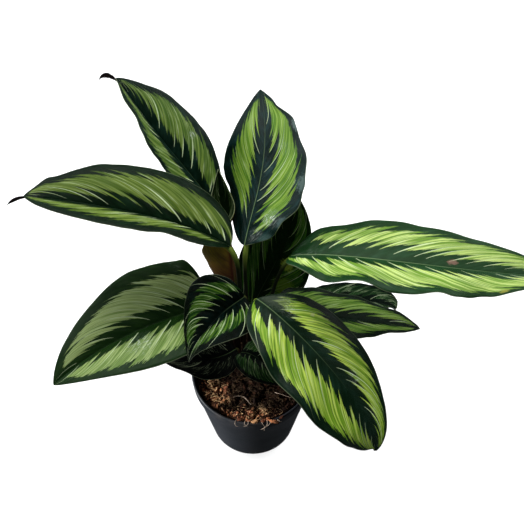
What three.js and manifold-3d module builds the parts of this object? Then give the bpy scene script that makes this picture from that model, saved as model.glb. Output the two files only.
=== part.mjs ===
// A potted calathea: a small plastic nursery pot filled with bark and coir, and thirteen patterned
// leaves that rise from one crown on thin stalks. Millimetres, +Z up. The origin is the centre of the
// pot's foot, and -Y is the plant's front. Each leaf is one piece that grew: its stalk, the swollen
// joint below the blade, the blade, the ridge of the midrib under it and, on two leaves, a dry tip.
import * as THREE from 'three';
import { mergeVertices } from 'three/addons/utils/BufferGeometryUtils.js';
import Module from 'manifold-3d';

const wasm = await Module();
wasm.setup();

// The pot, a thin moulded cup with a collar round its mouth and drain holes round its foot.
const POT_HEIGHT = 100;
const POT_RIM_RADIUS = 60;
const POT_FOOT_RADIUS = 43;
const POT_FOOT_BEND = 4;
const POT_COLLAR_HEIGHT = 13;
const POT_COLLAR_STEP = 2.2;
const POT_WALL = 2;
const POT_FLOOR = 3;
const POT_COLLAR_TAPER = 0.8;
const POT_EDGE_CUT = 0.8;
const POT_INNER_CUT = 0.6;
const POT_FOOT_ROUNDING = 0.3;
const POT_SIDES = 40;
const DRAIN_SIDES = 8;
const DRAIN_COUNT = 8;
const DRAIN_RADIUS = 4;
const DRAIN_CIRCLE = 31;

// The growing mix, one compact plug that rises a little to the front, with bark chips in its top.
const GAP = 0.3;
const SOIL_LEVEL = 93;
const SOIL_FRONT_RISE = 4;
const SOIL_BUMP = 0.9;
const SOIL_SIDES = 32;
const SOIL_RINGS = 5;
const CHIP_COUNT = 28;
const CHIP_SEED = 11;
const CHIP_SMALLEST = 2.2;
const CHIP_LARGEST = 5.5;
const CHIP_CLEARANCE = 4;
const CHIP_WIDTH_SHARE = 0.6;
const CHIP_HEIGHT_SHARE = 0.35;
const CHIP_TILT = 0.25;
const CHIP_LIFT = 0.2;

// The leaves.
const BLADE_THICKNESS = 0.8;
const BLADE_ROWS = 16;
const BLADE_COLUMNS = 6;
const SMALL_BLADE = 34;
const SMALL_BLADE_ROWS = 12;
const SMALL_BLADE_COLUMNS = 4;
const BLADE_END = 0.006;
const NORMAL_STEP = 0.004;
const STALK_FOOT = 86;
const STALK_FREE = 99;
const STALK_SIDES = 6;
const STALK_STEPS = 10;
const JOINT_LENGTH = 16;
const JOINT_SWELL = 0.35;
const RIDGE_TIP_RADIUS = 0.45;
const HOLE_SIDES = 8;
const HOLE_DEPTH = 20;
const DRY_TIP_START = 0.94;
const DRY_TIP_ROWS = 6;
const DRY_TIP_COLUMNS = 2;
const DRY_TIP = { width: 2.6, ends: [0.4, 0.7], roll: [0, 60], fold: [30, 30], edge: [10, 10] };

// One record per leaf, named for where it grows. root is the place in the soil (x, y) and stalk the
// stalk's radius. The stalk starts along lean, stays so for the share rise of its way, and bends into
// the midrib over the length neck. rib holds the four control points of the midrib. width is half the
// blade's width and ends its fullness at the stalk and the tip. roll turns the upper face about the
// midrib, at the stalk and at the tip. fold is the slope of the left and right half beside the midrib
// and edge their slope at the margin, in degrees. A leaf that is still half rolled has open as well,
// its margins' slopes at the tip, and unroll, the two shares of its length between which it turns.
// ripple is the margin's wave: left and right height, number of waves, left and right start. dryTip
// holds the last two control points of the withered tip.
const LEAVES = {
  leaf_back_left: {
    root: [-11, 38], stalk: 1.7, lean: [0, 0.45], rise: 0.45, neck: 10,
    rib: [[-32, 113, 209], [-76, 145, 258], [-96, 152, 283], [-122, 166, 327]],
    width: 40, ends: [0.7, 0.8], roll: [0, -20], fold: [43, 43], edge: [4, 4],
    dryTip: [[-136, 165, 334], [-140, 163, 328]],
  },
  leaf_left: {
    root: [-14, 21], stalk: 2, lean: [0, 0], rise: 0.45, neck: 20,
    rib: [[-19, 43, 238], [-61, 68, 246], [-128, 47, 290], [-199, 70, 275]],
    width: 45, ends: [0.62, 0.8], roll: [-8, 7], fold: [54, 48], edge: [5, 5],
    dryTip: [[-210, 69, 272], [-215, 67, 267]],
  },
  leaf_back: {
    root: [-3, 29], stalk: 1.7, lean: [0, 0], rise: 0.45, neck: 22,
    rib: [[-6.5, 48, 234], [0, 76, 256], [21, 83, 308], [8, 160, 319]],
    width: 45, ends: [0.61, 0.83], roll: [45, -4], fold: [-13, -2], edge: [-1, 0],
    ripple: [-1.1, -2.3, 3.6, 0.7, -1.6],
  },
  leaf_right_high: {
    root: [13, 27], stalk: 1.7, lean: [0, 0], rise: 0.6, neck: 14,
    rib: [[35, 34, 236], [75, 18, 266], [190, 2, 248], [255, 0, 251]],
    width: 40, ends: [0.47, 0.71], roll: [11, -12], fold: [15, 22], edge: [2, 2],
    ripple: [1.4, 5.9, 3.9, -1.7, -0.6],
  },
  leaf_left_low: {
    root: [-19, 18], stalk: 1.7, lean: [-0.1, 0], rise: 0.45, neck: 16,
    rib: [[-34, 34, 167], [-44, 24, 166], [-125, 13, 162], [-182, -41, 140]],
    width: 54, ends: [0.6, 0.82], roll: [5, 14], fold: [41, 36], edge: [4, 4],
  },
  leaf_front_left: {
    root: [-8, 16], stalk: 1.6, lean: [0, 0], rise: 0.45, neck: 8,
    rib: [[-6, 0, 221], [-19, -14, 224], [-42, -21, 212], [-55, -38, 175]],
    width: 38, ends: [0.6, 0.82], roll: [33, -40], fold: [42, 39], edge: [4, 4],
  },
  leaf_front_right: {
    root: [11, 16], stalk: 1.7, lean: [0, 0], rise: 0.45, neck: 10,
    rib: [[5, -7, 228], [30, -33, 237], [108, -85, 177], [111, -99, 125]],
    width: 48, ends: [0.66, 0.78], roll: [13, 4], fold: [-9, -7], edge: [-1, -1],
    ripple: [0.1, -2.5, 3.8, 0.1, -0.7],
  },
  leaf_right: {
    root: [20, 18], stalk: 1.6, lean: [0, 0], rise: 0.45, neck: 12,
    rib: [[19, 19, 184], [36, 11, 174], [119, 11, 172], [155, 0, 171]],
    width: 33, ends: [0.55, 0.79], roll: [5, 22], fold: [11, 13], edge: [1, 1],
    ripple: [1.3, 2.2, 4, -1.1, 1.1],
  },
  leaf_right_low: {
    root: [24, 28], stalk: 1.5, lean: [0.1, 0.1], rise: 0.45, neck: 12,
    rib: [[38, 65, 126], [75, 54, 147], [140, 59, 137], [140, 43, 141]],
    width: 32, ends: [0.6, 0.8], roll: [32, 22], fold: [13, 20], edge: [1, 2],
  },
  leaf_back_right: {
    root: [6, 35], stalk: 1.7, lean: [0, 0], rise: 0.45, neck: 12,
    rib: [[1, 43, 149], [20, 72, 178], [42, 78, 207], [35, 99, 256]],
    width: 36, ends: [0.5, 0.86], roll: [-54, 20], fold: [30, 20], edge: [3, 2],
  },
  leaf_young: {
    root: [-17, 33], stalk: 1.5, lean: [0, 0], rise: 0.45, neck: 10,
    rib: [[-15, 42.5, 165], [-18, 57.5, 199], [-25, 91, 223], [-30.5, 110, 268]],
    width: 30, ends: [0.75, 1], roll: [150, 8], fold: [10, 10], edge: [115, 115],
    open: [65, 90], unroll: [0.3, 0.8],
  },
  leaf_small_front: {
    root: [1, -4], stalk: 1.2, lean: [0, 0], rise: 0.45, neck: 8,
    rib: [[-11, 2, 128], [0, -9, 149], [18, -27, 148], [37, -36, 137]],
    width: 21, ends: [0.6, 0.78], roll: [-5, -40], fold: [30, 21], edge: [3, 2],
  },
  leaf_small_left: {
    root: [-15, 8], stalk: 1.3, lean: [0, 0], rise: 0.45, neck: 6,
    rib: [[-16, 14, 116], [-36, -1, 115], [-51, 2, 114], [-90, 5, 111]],
    width: 26, ends: [0.6, 0.82], roll: [12, -10], fold: [19, 20], edge: [2, 2],
  },
};

const UP = new THREE.Vector3(0, 0, 1);

// A small repeatable random source, so that the bark lies the same way on each run.
function seededRandom(seed) {
  let state = seed;
  return () => {
    state = (state * 16807) % 2147483647;
    return state / 2147483647;
  };
}

function curveThrough(points) {
  return new THREE.CubicBezierCurve3(...points.map((point) => new THREE.Vector3(...point)));
}

function geometryFrom(vertices, triangles) {
  const geometry = new THREE.BufferGeometry();
  geometry.setAttribute('position', new THREE.Float32BufferAttribute(vertices.flat(), 3));
  geometry.setIndex(triangles.flat());
  return geometry;
}

function solidFrom(geometry) {
  const bare = new THREE.BufferGeometry();
  bare.setAttribute('position', geometry.getAttribute('position'));
  bare.setIndex(geometry.index);
  const merged = mergeVertices(bare, 1e-4);
  return new wasm.Manifold(new wasm.Mesh({
    numProp: 3,
    vertProperties: Float32Array.from(merged.getAttribute('position').array),
    triVerts: Uint32Array.from(merged.index.array),
  }));
}

function geometryOf(solid) {
  const mesh = solid.getMesh();
  const geometry = new THREE.BufferGeometry();
  geometry.setAttribute('position', new THREE.Float32BufferAttribute(mesh.vertProperties, 3));
  geometry.setIndex(Array.from(mesh.triVerts));
  geometry.computeVertexNormals();
  return geometry;
}

// Half the blade's width as a share of its widest, with the fullness of both ends.
function outline(t, [base, tip]) {
  const peak = (base / (base + tip)) ** base * (tip / (base + tip)) ** tip;
  return (t ** base * (1 - t) ** tip) / peak;
}

// The blade's middle surface: t runs from the stalk (0) to the tip (1), w across (-1 left, 1 right).
function bladePoint(leaf, rib, t, w) {
  const along = rib.getTangent(t);
  const level = new THREE.Vector3().crossVectors(along, UP).normalize();
  const raised = new THREE.Vector3().crossVectors(level, along);
  const share = leaf.unroll ? THREE.MathUtils.smoothstep(t, ...leaf.unroll) : t;
  const turn = THREE.MathUtils.degToRad(leaf.roll[0] + (leaf.roll[1] - leaf.roll[0]) * share);
  const across = level.clone().multiplyScalar(Math.cos(turn)).addScaledVector(raised, Math.sin(turn));
  const facing = raised.multiplyScalar(Math.cos(turn)).addScaledVector(level, -Math.sin(turn));

  const half = w < 0 ? 0 : 1;
  const opened = leaf.open ? (leaf.open[half] - leaf.edge[half]) * t : 0;
  const fold = THREE.MathUtils.degToRad(leaf.fold[half]);
  const bend = THREE.MathUtils.degToRad(leaf.edge[half] + opened - leaf.fold[half]);
  const slope = fold + bend * Math.abs(w);
  const reach = (Math.sin(slope) - Math.sin(fold)) / bend;
  const height = (Math.cos(fold) - Math.cos(slope)) / bend;

  const size = leaf.width * outline(t, leaf.ends);
  let wave = 0;
  if (leaf.ripple) {
    const [leftHeight, rightHeight, count, leftStart, rightStart] = leaf.ripple;
    const start = w < 0 ? leftStart : rightStart;
    const fade = Math.sqrt(Math.sin(Math.PI * t));
    wave = (w < 0 ? leftHeight : rightHeight) * w * w * fade * Math.sin(2 * Math.PI * count * t + start);
  }
  return rib.getPoint(t)
    .addScaledVector(across, Math.sign(w) * reach * size)
    .addScaledVector(facing, height * size + wave);
}

// The upper face's direction at a place on the blade.
function bladeNormal(leaf, rib, t, w) {
  const forward = bladePoint(leaf, rib, t + NORMAL_STEP, w).sub(bladePoint(leaf, rib, t - NORMAL_STEP, w));
  const inner = w < 0 ? w : w - 2 * NORMAL_STEP;
  const sideways = bladePoint(leaf, rib, t, inner + 2 * NORMAL_STEP).sub(bladePoint(leaf, rib, t, inner));
  return sideways.cross(forward).normalize();
}

// Stations from the stalk to the tip, closer together towards both ends.
function station(share) {
  const eased = (share + 0.5 - 0.5 * Math.cos(Math.PI * share)) / 2;
  return BLADE_END + (1 - 2 * BLADE_END) * eased;
}

// A thin closed sheet round the blade's middle surface, split alike on both faces.
function bladeGeometry(leaf, rib, rows, columns, thickness) {
  const vertices = [];
  for (const side of [0.5, -0.5]) {
    for (let i = 0; i <= rows; i += 1) {
      for (let j = 0; j <= columns; j += 1) {
        const t = station(i / rows);
        const w = (2 * j) / columns - 1;
        const normal = bladeNormal(leaf, rib, t, w);
        vertices.push(bladePoint(leaf, rib, t, w).addScaledVector(normal, side * thickness).toArray());
      }
    }
  }
  const under = (rows + 1) * (columns + 1);
  const at = (i, j) => i * (columns + 1) + j;
  const triangles = [];
  const wall = (from, to) => {
    triangles.push([to, from, from + under], [to, from + under, to + under]);
  };
  for (let i = 0; i < rows; i += 1) {
    for (let j = 0; j < columns; j += 1) {
      const corners = [at(i, j), at(i, j + 1), at(i + 1, j + 1), at(i + 1, j)];
      const [a, b, c, d] = corners;
      triangles.push([a, b, c], [a, c, d]);
      triangles.push([a + under, c + under, b + under], [a + under, d + under, c + under]);
    }
  }
  for (let j = 0; j < columns; j += 1) {
    wall(at(0, j), at(0, j + 1));
    wall(at(rows, j + 1), at(rows, j));
  }
  for (let i = 0; i < rows; i += 1) {
    wall(at(i, columns), at(i + 1, columns));
    wall(at(i + 1, 0), at(i, 0));
  }
  return geometryFrom(vertices, triangles);
}

// A closed rod of changing radius along a list of points.
function rodGeometry(points, radii, sides) {
  const vertices = [];
  const triangles = [];
  let across = new THREE.Vector3(1, 0, 0);
  points.forEach((point, i) => {
    const before = points[Math.max(i - 1, 0)];
    const after = points[Math.min(i + 1, points.length - 1)];
    const along = after.clone().sub(before).normalize();
    across = across.clone().addScaledVector(along, -across.dot(along)).normalize();
    const second = new THREE.Vector3().crossVectors(along, across);
    for (let k = 0; k < sides; k += 1) {
      const angle = (2 * Math.PI * k) / sides;
      vertices.push(point.clone()
        .addScaledVector(across, radii[i] * Math.cos(angle))
        .addScaledVector(second, radii[i] * Math.sin(angle))
        .toArray());
    }
  });
  const last = points.length - 1;
  const foot = vertices.push(points[0].toArray()) - 1;
  const head = vertices.push(points[last].toArray()) - 1;
  for (let k = 0; k < sides; k += 1) {
    const next = (k + 1) % sides;
    for (let i = 0; i < last; i += 1) {
      const a = i * sides + k;
      const b = i * sides + next;
      triangles.push([a, b, b + sides], [a, b + sides, a + sides]);
    }
    triangles.push([foot, next, k], [head, last * sides + k, last * sides + next]);
  }
  return geometryFrom(vertices, triangles);
}

// The stalk from its foot in the soil up to the blade, and on as the ridge under the midrib.
function stalkGeometry(leaf, rib, rows) {
  const [x, y] = leaf.root;
  const points = [new THREE.Vector3(x, y, STALK_FOOT)];
  const radii = [leaf.stalk];
  const ridgePoint = (t, radius) => bladePoint(leaf, rib, t, 0)
    .addScaledVector(bladeNormal(leaf, rib, t, 0), -radius);

  const free = new THREE.Vector3(x, y, STALK_FREE);
  const joint = ridgePoint(station(0), leaf.stalk);
  const away = rib.getTangent(0);
  const reach = joint.distanceTo(free);
  const start = new THREE.Vector3(...leaf.lean, 1).normalize();
  const stalk = new THREE.CubicBezierCurve3(
    free,
    free.clone().addScaledVector(start, reach * leaf.rise),
    joint.clone().addScaledVector(away, -leaf.neck),
    joint,
  );
  for (let i = 0; i < STALK_STEPS; i += 1) {
    const point = stalk.getPointAt(i / STALK_STEPS);
    const left = point.distanceTo(joint);
    const swell = Math.exp(-(((left - JOINT_LENGTH / 2) / (JOINT_LENGTH / 2)) ** 2));
    points.push(point);
    radii.push(leaf.stalk * (1 + JOINT_SWELL * swell));
  }
  for (let row = 0; row < rows; row += 2) {
    const radius = leaf.stalk + (RIDGE_TIP_RADIUS - leaf.stalk) * (row / rows);
    points.push(ridgePoint(station(row / rows), radius));
    radii.push(radius);
  }
  return rodGeometry(points, radii, STALK_SIDES);
}

// The withered end of a blade, a narrow curled strip that starts inside the blade's tip.
function dryTipGeometry(leaf, rib) {
  const route = [rib.getPoint(DRY_TIP_START).toArray(), rib.getPoint(1).toArray(), ...leaf.dryTip];
  return bladeGeometry(DRY_TIP, curveThrough(route), DRY_TIP_ROWS, DRY_TIP_COLUMNS, BLADE_THICKNESS);
}

function leafMesh(name, leaf, color) {
  const rib = curveThrough(leaf.rib);
  const isSmall = leaf.width < SMALL_BLADE;
  const rows = isSmall ? SMALL_BLADE_ROWS : BLADE_ROWS;
  const columns = isSmall ? SMALL_BLADE_COLUMNS : BLADE_COLUMNS;
  let solid = solidFrom(bladeGeometry(leaf, rib, rows, columns, BLADE_THICKNESS))
    .add(solidFrom(stalkGeometry(leaf, rib, rows)));
  if (leaf.dryTip) {
    solid = solid.add(solidFrom(dryTipGeometry(leaf, rib)));
  }
  const mesh = new THREE.Mesh(geometryOf(solid), leafMaterial(color));
  mesh.name = name;
  return mesh;
}

function leafMaterial(color) {
  return new THREE.MeshStandardMaterial({ color, roughness: 0.45, metalness: 0, side: THREE.DoubleSide });
}

// The pot: its outer wall with the collar, then its inner wall back down to the floor.
function potMesh() {
  const collarFoot = POT_HEIGHT - POT_COLLAR_HEIGHT;
  const slope = (POT_RIM_RADIUS - POT_COLLAR_STEP - POT_FOOT_RADIUS) / collarFoot;
  const bodyRadius = (z) => POT_FOOT_RADIUS + slope * z;
  const collarRadius = POT_RIM_RADIUS - POT_COLLAR_TAPER;
  const footCut = POT_FOOT_BEND * POT_FOOT_ROUNDING;
  const profile = [
    [0, 0],
    [POT_FOOT_RADIUS - POT_FOOT_BEND, 0],
    [bodyRadius(0) - footCut, footCut],
    [bodyRadius(POT_FOOT_BEND), POT_FOOT_BEND],
    [bodyRadius(collarFoot), collarFoot],
    [collarRadius - POT_INNER_CUT, collarFoot],
    [collarRadius, collarFoot + POT_EDGE_CUT],
    [POT_RIM_RADIUS, POT_HEIGHT - POT_EDGE_CUT],
    [POT_RIM_RADIUS - POT_EDGE_CUT, POT_HEIGHT],
    [POT_RIM_RADIUS - POT_WALL, POT_HEIGHT],
    [POT_RIM_RADIUS - POT_WALL - POT_INNER_CUT, POT_HEIGHT - POT_INNER_CUT],
    [innerRadius(collarFoot), collarFoot],
    [innerRadius(POT_FLOOR), POT_FLOOR],
    [0, POT_FLOOR],
  ].map(([radius, z]) => new THREE.Vector2(radius, z));
  let pot = solidFrom(new THREE.LatheGeometry(profile, POT_SIDES).rotateX(Math.PI / 2));
  for (let i = 0; i < DRAIN_COUNT; i += 1) {
    const angle = (2 * Math.PI * (i + 0.5)) / DRAIN_COUNT;
    const drain = new THREE.CylinderGeometry(DRAIN_RADIUS, DRAIN_RADIUS, 4 * POT_FLOOR, DRAIN_SIDES)
      .rotateX(Math.PI / 2)
      .translate(DRAIN_CIRCLE * Math.cos(angle), DRAIN_CIRCLE * Math.sin(angle), 0);
    pot = pot.subtract(solidFrom(drain));
  }
  const material = new THREE.MeshStandardMaterial({ color: 0x33383c, roughness: 0.6, metalness: 0 });
  const mesh = new THREE.Mesh(geometryOf(pot), material);
  mesh.name = 'pot';
  return mesh;
}

function innerRadius(z) {
  const collarFoot = POT_HEIGHT - POT_COLLAR_HEIGHT;
  const slope = (POT_RIM_RADIUS - POT_COLLAR_STEP - POT_FOOT_RADIUS) / collarFoot;
  return POT_FOOT_RADIUS + slope * Math.min(z, collarFoot) - POT_WALL;
}

// The soil's height: level behind, rising to the front rim, with low bumps.
function soilHeight(x, y) {
  const front = Math.max(0, -y / POT_RIM_RADIUS);
  const bumps = Math.sin(0.31 * x + 0.6) * Math.sin(0.27 * y - 0.4) + 0.5 * Math.sin(0.55 * x - 0.43 * y);
  return SOIL_LEVEL + SOIL_FRONT_RISE * front + SOIL_BUMP * bumps;
}

function soilMesh() {
  const wallRadius = (z) => innerRadius(z) - GAP;
  const vertices = [[0, 0, POT_FLOOR], [0, 0, soilHeight(0, 0)]];
  const triangles = [];
  const ringStarts = [];
  const addRing = (radius, heightAt) => {
    ringStarts.push(vertices.length);
    for (let k = 0; k < SOIL_SIDES; k += 1) {
      const angle = (2 * Math.PI * k) / SOIL_SIDES;
      const x = radius * Math.cos(angle);
      const y = radius * Math.sin(angle);
      vertices.push([x, y, heightAt(x, y)]);
    }
  };
  const topRadius = wallRadius(SOIL_LEVEL);
  addRing(wallRadius(POT_FLOOR), () => POT_FLOOR);
  for (let ring = SOIL_RINGS; ring > 0; ring -= 1) {
    addRing((topRadius * ring) / SOIL_RINGS, soilHeight);
  }
  for (let k = 0; k < SOIL_SIDES; k += 1) {
    const next = (k + 1) % SOIL_SIDES;
    triangles.push([0, ringStarts[0] + next, ringStarts[0] + k]);
    for (let ring = 0; ring < SOIL_RINGS; ring += 1) {
      const [low, high] = [ringStarts[ring], ringStarts[ring + 1]];
      triangles.push([low + k, low + next, high + next], [low + k, high + next, high + k]);
    }
    triangles.push([1, ringStarts[SOIL_RINGS] + k, ringStarts[SOIL_RINGS] + next]);
  }
  let soil = solidFrom(geometryFrom(vertices, triangles));

  const random = seededRandom(CHIP_SEED);
  const roots = Object.values(LEAVES).map((leaf) => new THREE.Vector2(...leaf.root));
  for (let placed = 0; placed < CHIP_COUNT;) {
    const length = CHIP_SMALLEST + (CHIP_LARGEST - CHIP_SMALLEST) * random();
    const radius = (topRadius - length - 1) * Math.sqrt(random());
    const angle = 2 * Math.PI * random();
    const place = new THREE.Vector2(radius * Math.cos(angle), radius * Math.sin(angle));
    if (roots.every((root) => root.distanceTo(place) > length + CHIP_CLEARANCE)) {
      const chip = new THREE.IcosahedronGeometry(1, 0)
        .scale(length, length * CHIP_WIDTH_SHARE, length * CHIP_HEIGHT_SHARE)
        .rotateX(CHIP_TILT * (2 * random() - 1))
        .rotateZ(Math.PI * random())
        .translate(place.x, place.y, soilHeight(place.x, place.y) + CHIP_LIFT);
      soil = soil.add(solidFrom(chip));
      placed += 1;
    }
  }
  for (const leaf of Object.values(LEAVES)) {
    const hole = new THREE.CylinderGeometry(leaf.stalk + GAP, leaf.stalk + GAP, HOLE_DEPTH, HOLE_SIDES)
      .rotateX(Math.PI / 2)
      .translate(leaf.root[0], leaf.root[1], STALK_FOOT - GAP + HOLE_DEPTH / 2);
    soil = soil.subtract(solidFrom(hole));
  }
  const material = new THREE.MeshStandardMaterial({ color: 0x5a3b22, roughness: 0.95, metalness: 0 });
  const mesh = new THREE.Mesh(geometryOf(soil), material);
  mesh.name = 'soil';
  return mesh;
}

const plant = new THREE.Group();
plant.add(potMesh(), soilMesh());
for (const [name, leaf] of Object.entries(LEAVES)) {
  plant.add(leafMesh(name, leaf, name === 'leaf_young' ? 0x6a4a2c : 0x4f7436));
}

export default plant;
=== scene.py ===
# %% [markdown]
# # A potted calathea
#
# The real object is a young prayer plant in its nursery pot: broad leaves, painted in dark and light
# green, that rise on thin stalks from one crown. The pot and the peat and bark in it are plain, so
# nearly all of the looks is in the leaves: how each one bends, and the feathered bands on it.
#
# The solids are already packed, and this lesson dresses them. They are loaded first, and each finer
# piece is built in the same frame, in metres, with the pot's foot at the origin.

# %% The fixed frame
import math
import random
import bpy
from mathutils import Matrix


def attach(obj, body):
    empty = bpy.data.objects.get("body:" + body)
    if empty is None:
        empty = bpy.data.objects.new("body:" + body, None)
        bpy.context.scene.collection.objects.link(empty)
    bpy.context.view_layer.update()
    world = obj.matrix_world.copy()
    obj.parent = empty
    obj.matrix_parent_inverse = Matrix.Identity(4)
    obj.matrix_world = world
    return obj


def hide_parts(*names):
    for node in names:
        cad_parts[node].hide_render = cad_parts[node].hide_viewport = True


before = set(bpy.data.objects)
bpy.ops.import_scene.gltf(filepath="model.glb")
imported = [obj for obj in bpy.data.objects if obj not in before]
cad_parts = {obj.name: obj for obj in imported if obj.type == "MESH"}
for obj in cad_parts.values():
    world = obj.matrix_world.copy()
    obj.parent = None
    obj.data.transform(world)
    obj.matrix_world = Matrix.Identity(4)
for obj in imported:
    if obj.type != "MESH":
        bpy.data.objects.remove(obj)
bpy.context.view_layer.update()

from types import SimpleNamespace

import bmesh
import bpy
from mathutils import Vector, noise

MM = 0.001

# %% [markdown]
# ## The camera
#
# A photograph has a place, a direction and a lens. The ellipses of the pot's rim and foot give all
# three: the camera stands high in front of the plant and looks down by about 51 degrees. A camera
# could be turned by hand until it looks right, but a place worked out from an aim, a height angle and
# a distance is easier to correct.

# %% Camera
AIM = Vector((0.0095, 0.0, 0.2695))
CAMERA_DISTANCE = 0.687
CAMERA_HEIGHT_ANGLE = math.radians(51.2)
LENS_LENGTH = 57
SENSOR_WIDTH = 36


def placed(name, data):
    """An object made from a camera, a lamp or a mesh, and linked to the scene."""
    thing = bpy.data.objects.new(name, data)
    bpy.context.scene.collection.objects.link(thing)
    return thing


towards_camera = Vector((0, -math.cos(CAMERA_HEIGHT_ANGLE), math.sin(CAMERA_HEIGHT_ANGLE)))
camera_data = bpy.data.cameras.new("camera")
camera_data.lens = LENS_LENGTH
camera_data.sensor_width = SENSOR_WIDTH
camera_data.clip_start = 0.01
camera = placed("camera", camera_data)
camera.location = AIM + towards_camera * CAMERA_DISTANCE
camera.rotation_euler = towards_camera.to_track_quat("Z", "Y").to_euler()
bpy.context.scene.camera = camera
print("camera at", [round(x, 3) for x in camera.location])

# %% [markdown]
# ## Writing a pattern as a formula
#
# A material in Blender is a graph of nodes, and a leaf's pattern takes over two hundred of them.
# Dragging them about is slow, so this small class stands for the number that a node puts out. Adding
# or multiplying two terms makes the Math node that does it, and the pattern reads like a formula.

# %% Terms for node graphs


class Term:
    """A number that one node of a material puts out."""

    def __init__(self, tree, socket):
        self.tree = tree
        self.socket = socket

    def feed(self, value, socket):
        if isinstance(value, Term):
            self.tree.links.new(value.socket, socket)
        else:
            socket.default_value = value

    def math(self, operation, *others):
        node = self.tree.nodes.new("ShaderNodeMath")
        node.operation = operation
        for value, socket in zip((self, *others), node.inputs):
            self.feed(value, socket)
        return Term(self.tree, node.outputs[0])

    def __add__(self, other):
        return self.math("ADD", other)

    def __sub__(self, other):
        return self.math("SUBTRACT", other)

    def __mul__(self, other):
        return self.math("MULTIPLY", other)

    def __truediv__(self, other):
        return self.math("DIVIDE", other)

    def flipped(self):
        """One minus the term."""
        return self * -1 + 1

    def size(self):
        return self.math("ABSOLUTE")

    def part(self):
        """What is left after the whole numbers."""
        return self.math("FRACT")

    def ramp(self, low, high):
        """Rises smoothly from 0 at low to 1 at high, and stays there."""
        node = self.tree.nodes.new("ShaderNodeMapRange")
        node.interpolation_type = "SMOOTHSTEP"
        self.feed(self, node.inputs["Value"])
        self.feed(low, node.inputs["From Min"])
        self.feed(high, node.inputs["From Max"])
        return Term(self.tree, node.outputs["Result"])


print("a formula's terms:", [name for name in vars(Term) if not name.startswith("__")])

# %% [markdown]
# A pattern starts from what is known at a place: a coordinate of the piece's own map, smooth noise, or
# a chance value that stays the same wherever a number is the same.

# %% Maps, noise and chance


def term_uv(tree, name):
    """Both coordinates of one of the piece's UV maps."""
    source = tree.nodes.new("ShaderNodeUVMap")
    source.uv_map = name
    split = tree.nodes.new("ShaderNodeSeparateXYZ")
    tree.links.new(source.outputs[0], split.inputs[0])
    return Term(tree, split.outputs["X"]), Term(tree, split.outputs["Y"])


def term_attribute(tree, name):
    source = tree.nodes.new("ShaderNodeAttribute")
    source.attribute_name = name
    return Term(tree, source.outputs["Fac"])


def term_noise(along, across, scale_along, scale_across, detail=2.0):
    """Smooth noise between about 0.2 and 0.8, stretched differently along and across."""
    tree = along.tree
    place = tree.nodes.new("ShaderNodeCombineXYZ")
    along.feed(along * scale_along, place.inputs["X"])
    along.feed(across * scale_across, place.inputs["Y"])
    texture = tree.nodes.new("ShaderNodeTexNoise")
    texture.noise_dimensions = "2D"
    texture.inputs["Scale"].default_value = 1.0
    texture.inputs["Detail"].default_value = detail
    tree.links.new(place.outputs[0], texture.inputs["Vector"])
    return Term(tree, texture.outputs["Fac"])


def term_luck(number):
    """The same chance value, from 0 to 1, wherever the number is the same."""
    texture = number.tree.nodes.new("ShaderNodeTexWhiteNoise")
    texture.noise_dimensions = "1D"
    number.feed(number, texture.inputs["W"])
    return Term(number.tree, texture.outputs["Value"])


print("sources:", [source.__name__ for source in (term_uv, term_attribute, term_noise, term_luck)])

# %% [markdown]
# Colours are given as a screen shows them, because that is how they are compared with a photograph.
# The shader wants light, so each one is turned into its linear share first.

# %% Colours and materials


def paint(red, green, blue):
    """A colour as a screen shows it, 0 to 255, turned into the light that it sends back."""
    shares = [value / 255 for value in (red, green, blue)]
    return tuple(x / 12.92 if x < 0.04045 else ((x + 0.055) / 1.055) ** 2.4 for x in shares) + (1.0,)


def blended(share, under, over):
    """The colour under where share is 0 and over where it is 1. Both are colours or colour sockets."""
    tree = share.tree
    node = tree.nodes.new("ShaderNodeMix")
    node.data_type = "RGBA"
    tree.links.new(share.socket, node.inputs["Factor"])
    for colour, socket in ((under, node.inputs[6]), (over, node.inputs[7])):
        if isinstance(colour, tuple):
            socket.default_value = colour
        else:
            tree.links.new(colour, socket)
    return node.outputs[2]


def new_material(name, roughness, specular=0.5):
    """A material, its node tree and its shader, with plain values on the shader itself."""
    material = bpy.data.materials.new(name)
    material.use_nodes = True
    shader = material.node_tree.nodes["Principled BSDF"]
    shader.inputs["Roughness"].default_value = roughness
    shader.inputs["Specular IOR Level"].default_value = specular
    return material, material.node_tree, shader


def colour_surface(shader, skin):
    """Joins a colour socket to the shader."""
    shader.id_data.links.new(skin, shader.inputs["Base Color"])


def raise_surface(shader, height, distance, strength=1.0):
    """Makes a height, in the pattern's own unit, show as small relief."""
    bump = height.tree.nodes.new("ShaderNodeBump")
    bump.inputs["Distance"].default_value = distance
    bump.inputs["Strength"].default_value = strength
    height.tree.links.new(height.socket, bump.inputs["Height"])
    height.tree.links.new(bump.outputs[0], shader.inputs["Normal"])


print("middle grey:", [round(x, 3) for x in paint(128, 128, 128)])

# %% [markdown]
# ## The studio
#
# The plant stood on white. The sheen on its leaves says where the light was: where a leaf shines, the
# line of sight bounces off it to the left, to the right or to the back, and never towards the
# photographer. So one soft lamp hangs above and a little behind, one stands on either side behind the
# plant, and the front stays dark. The leaves then shade the crown, and the front of the pot.
#
# Two more lamps are flagged off, as a photographer would say: light linking lets each shine on a few
# things only. One comes in low from the left, under the leaves, and brings out the round pot and the
# grain of the soil. The other keeps the ground white under a dark subject. The sky is dim where it
# lights the plant and pale where the camera looks into it, which a Light Path node tells apart. The
# picture is kept free of a film look, so that white stays white.

# %% Floor and sky
bpy.context.scene.view_settings.view_transform = "Standard"
FLOOR_SIZE = 8.0
FLOOR_SQUARES = 8
SKY_COLOUR = (0.86, 0.93, 1.0, 1.0)
SKY_STRENGTH = 0.12


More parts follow.
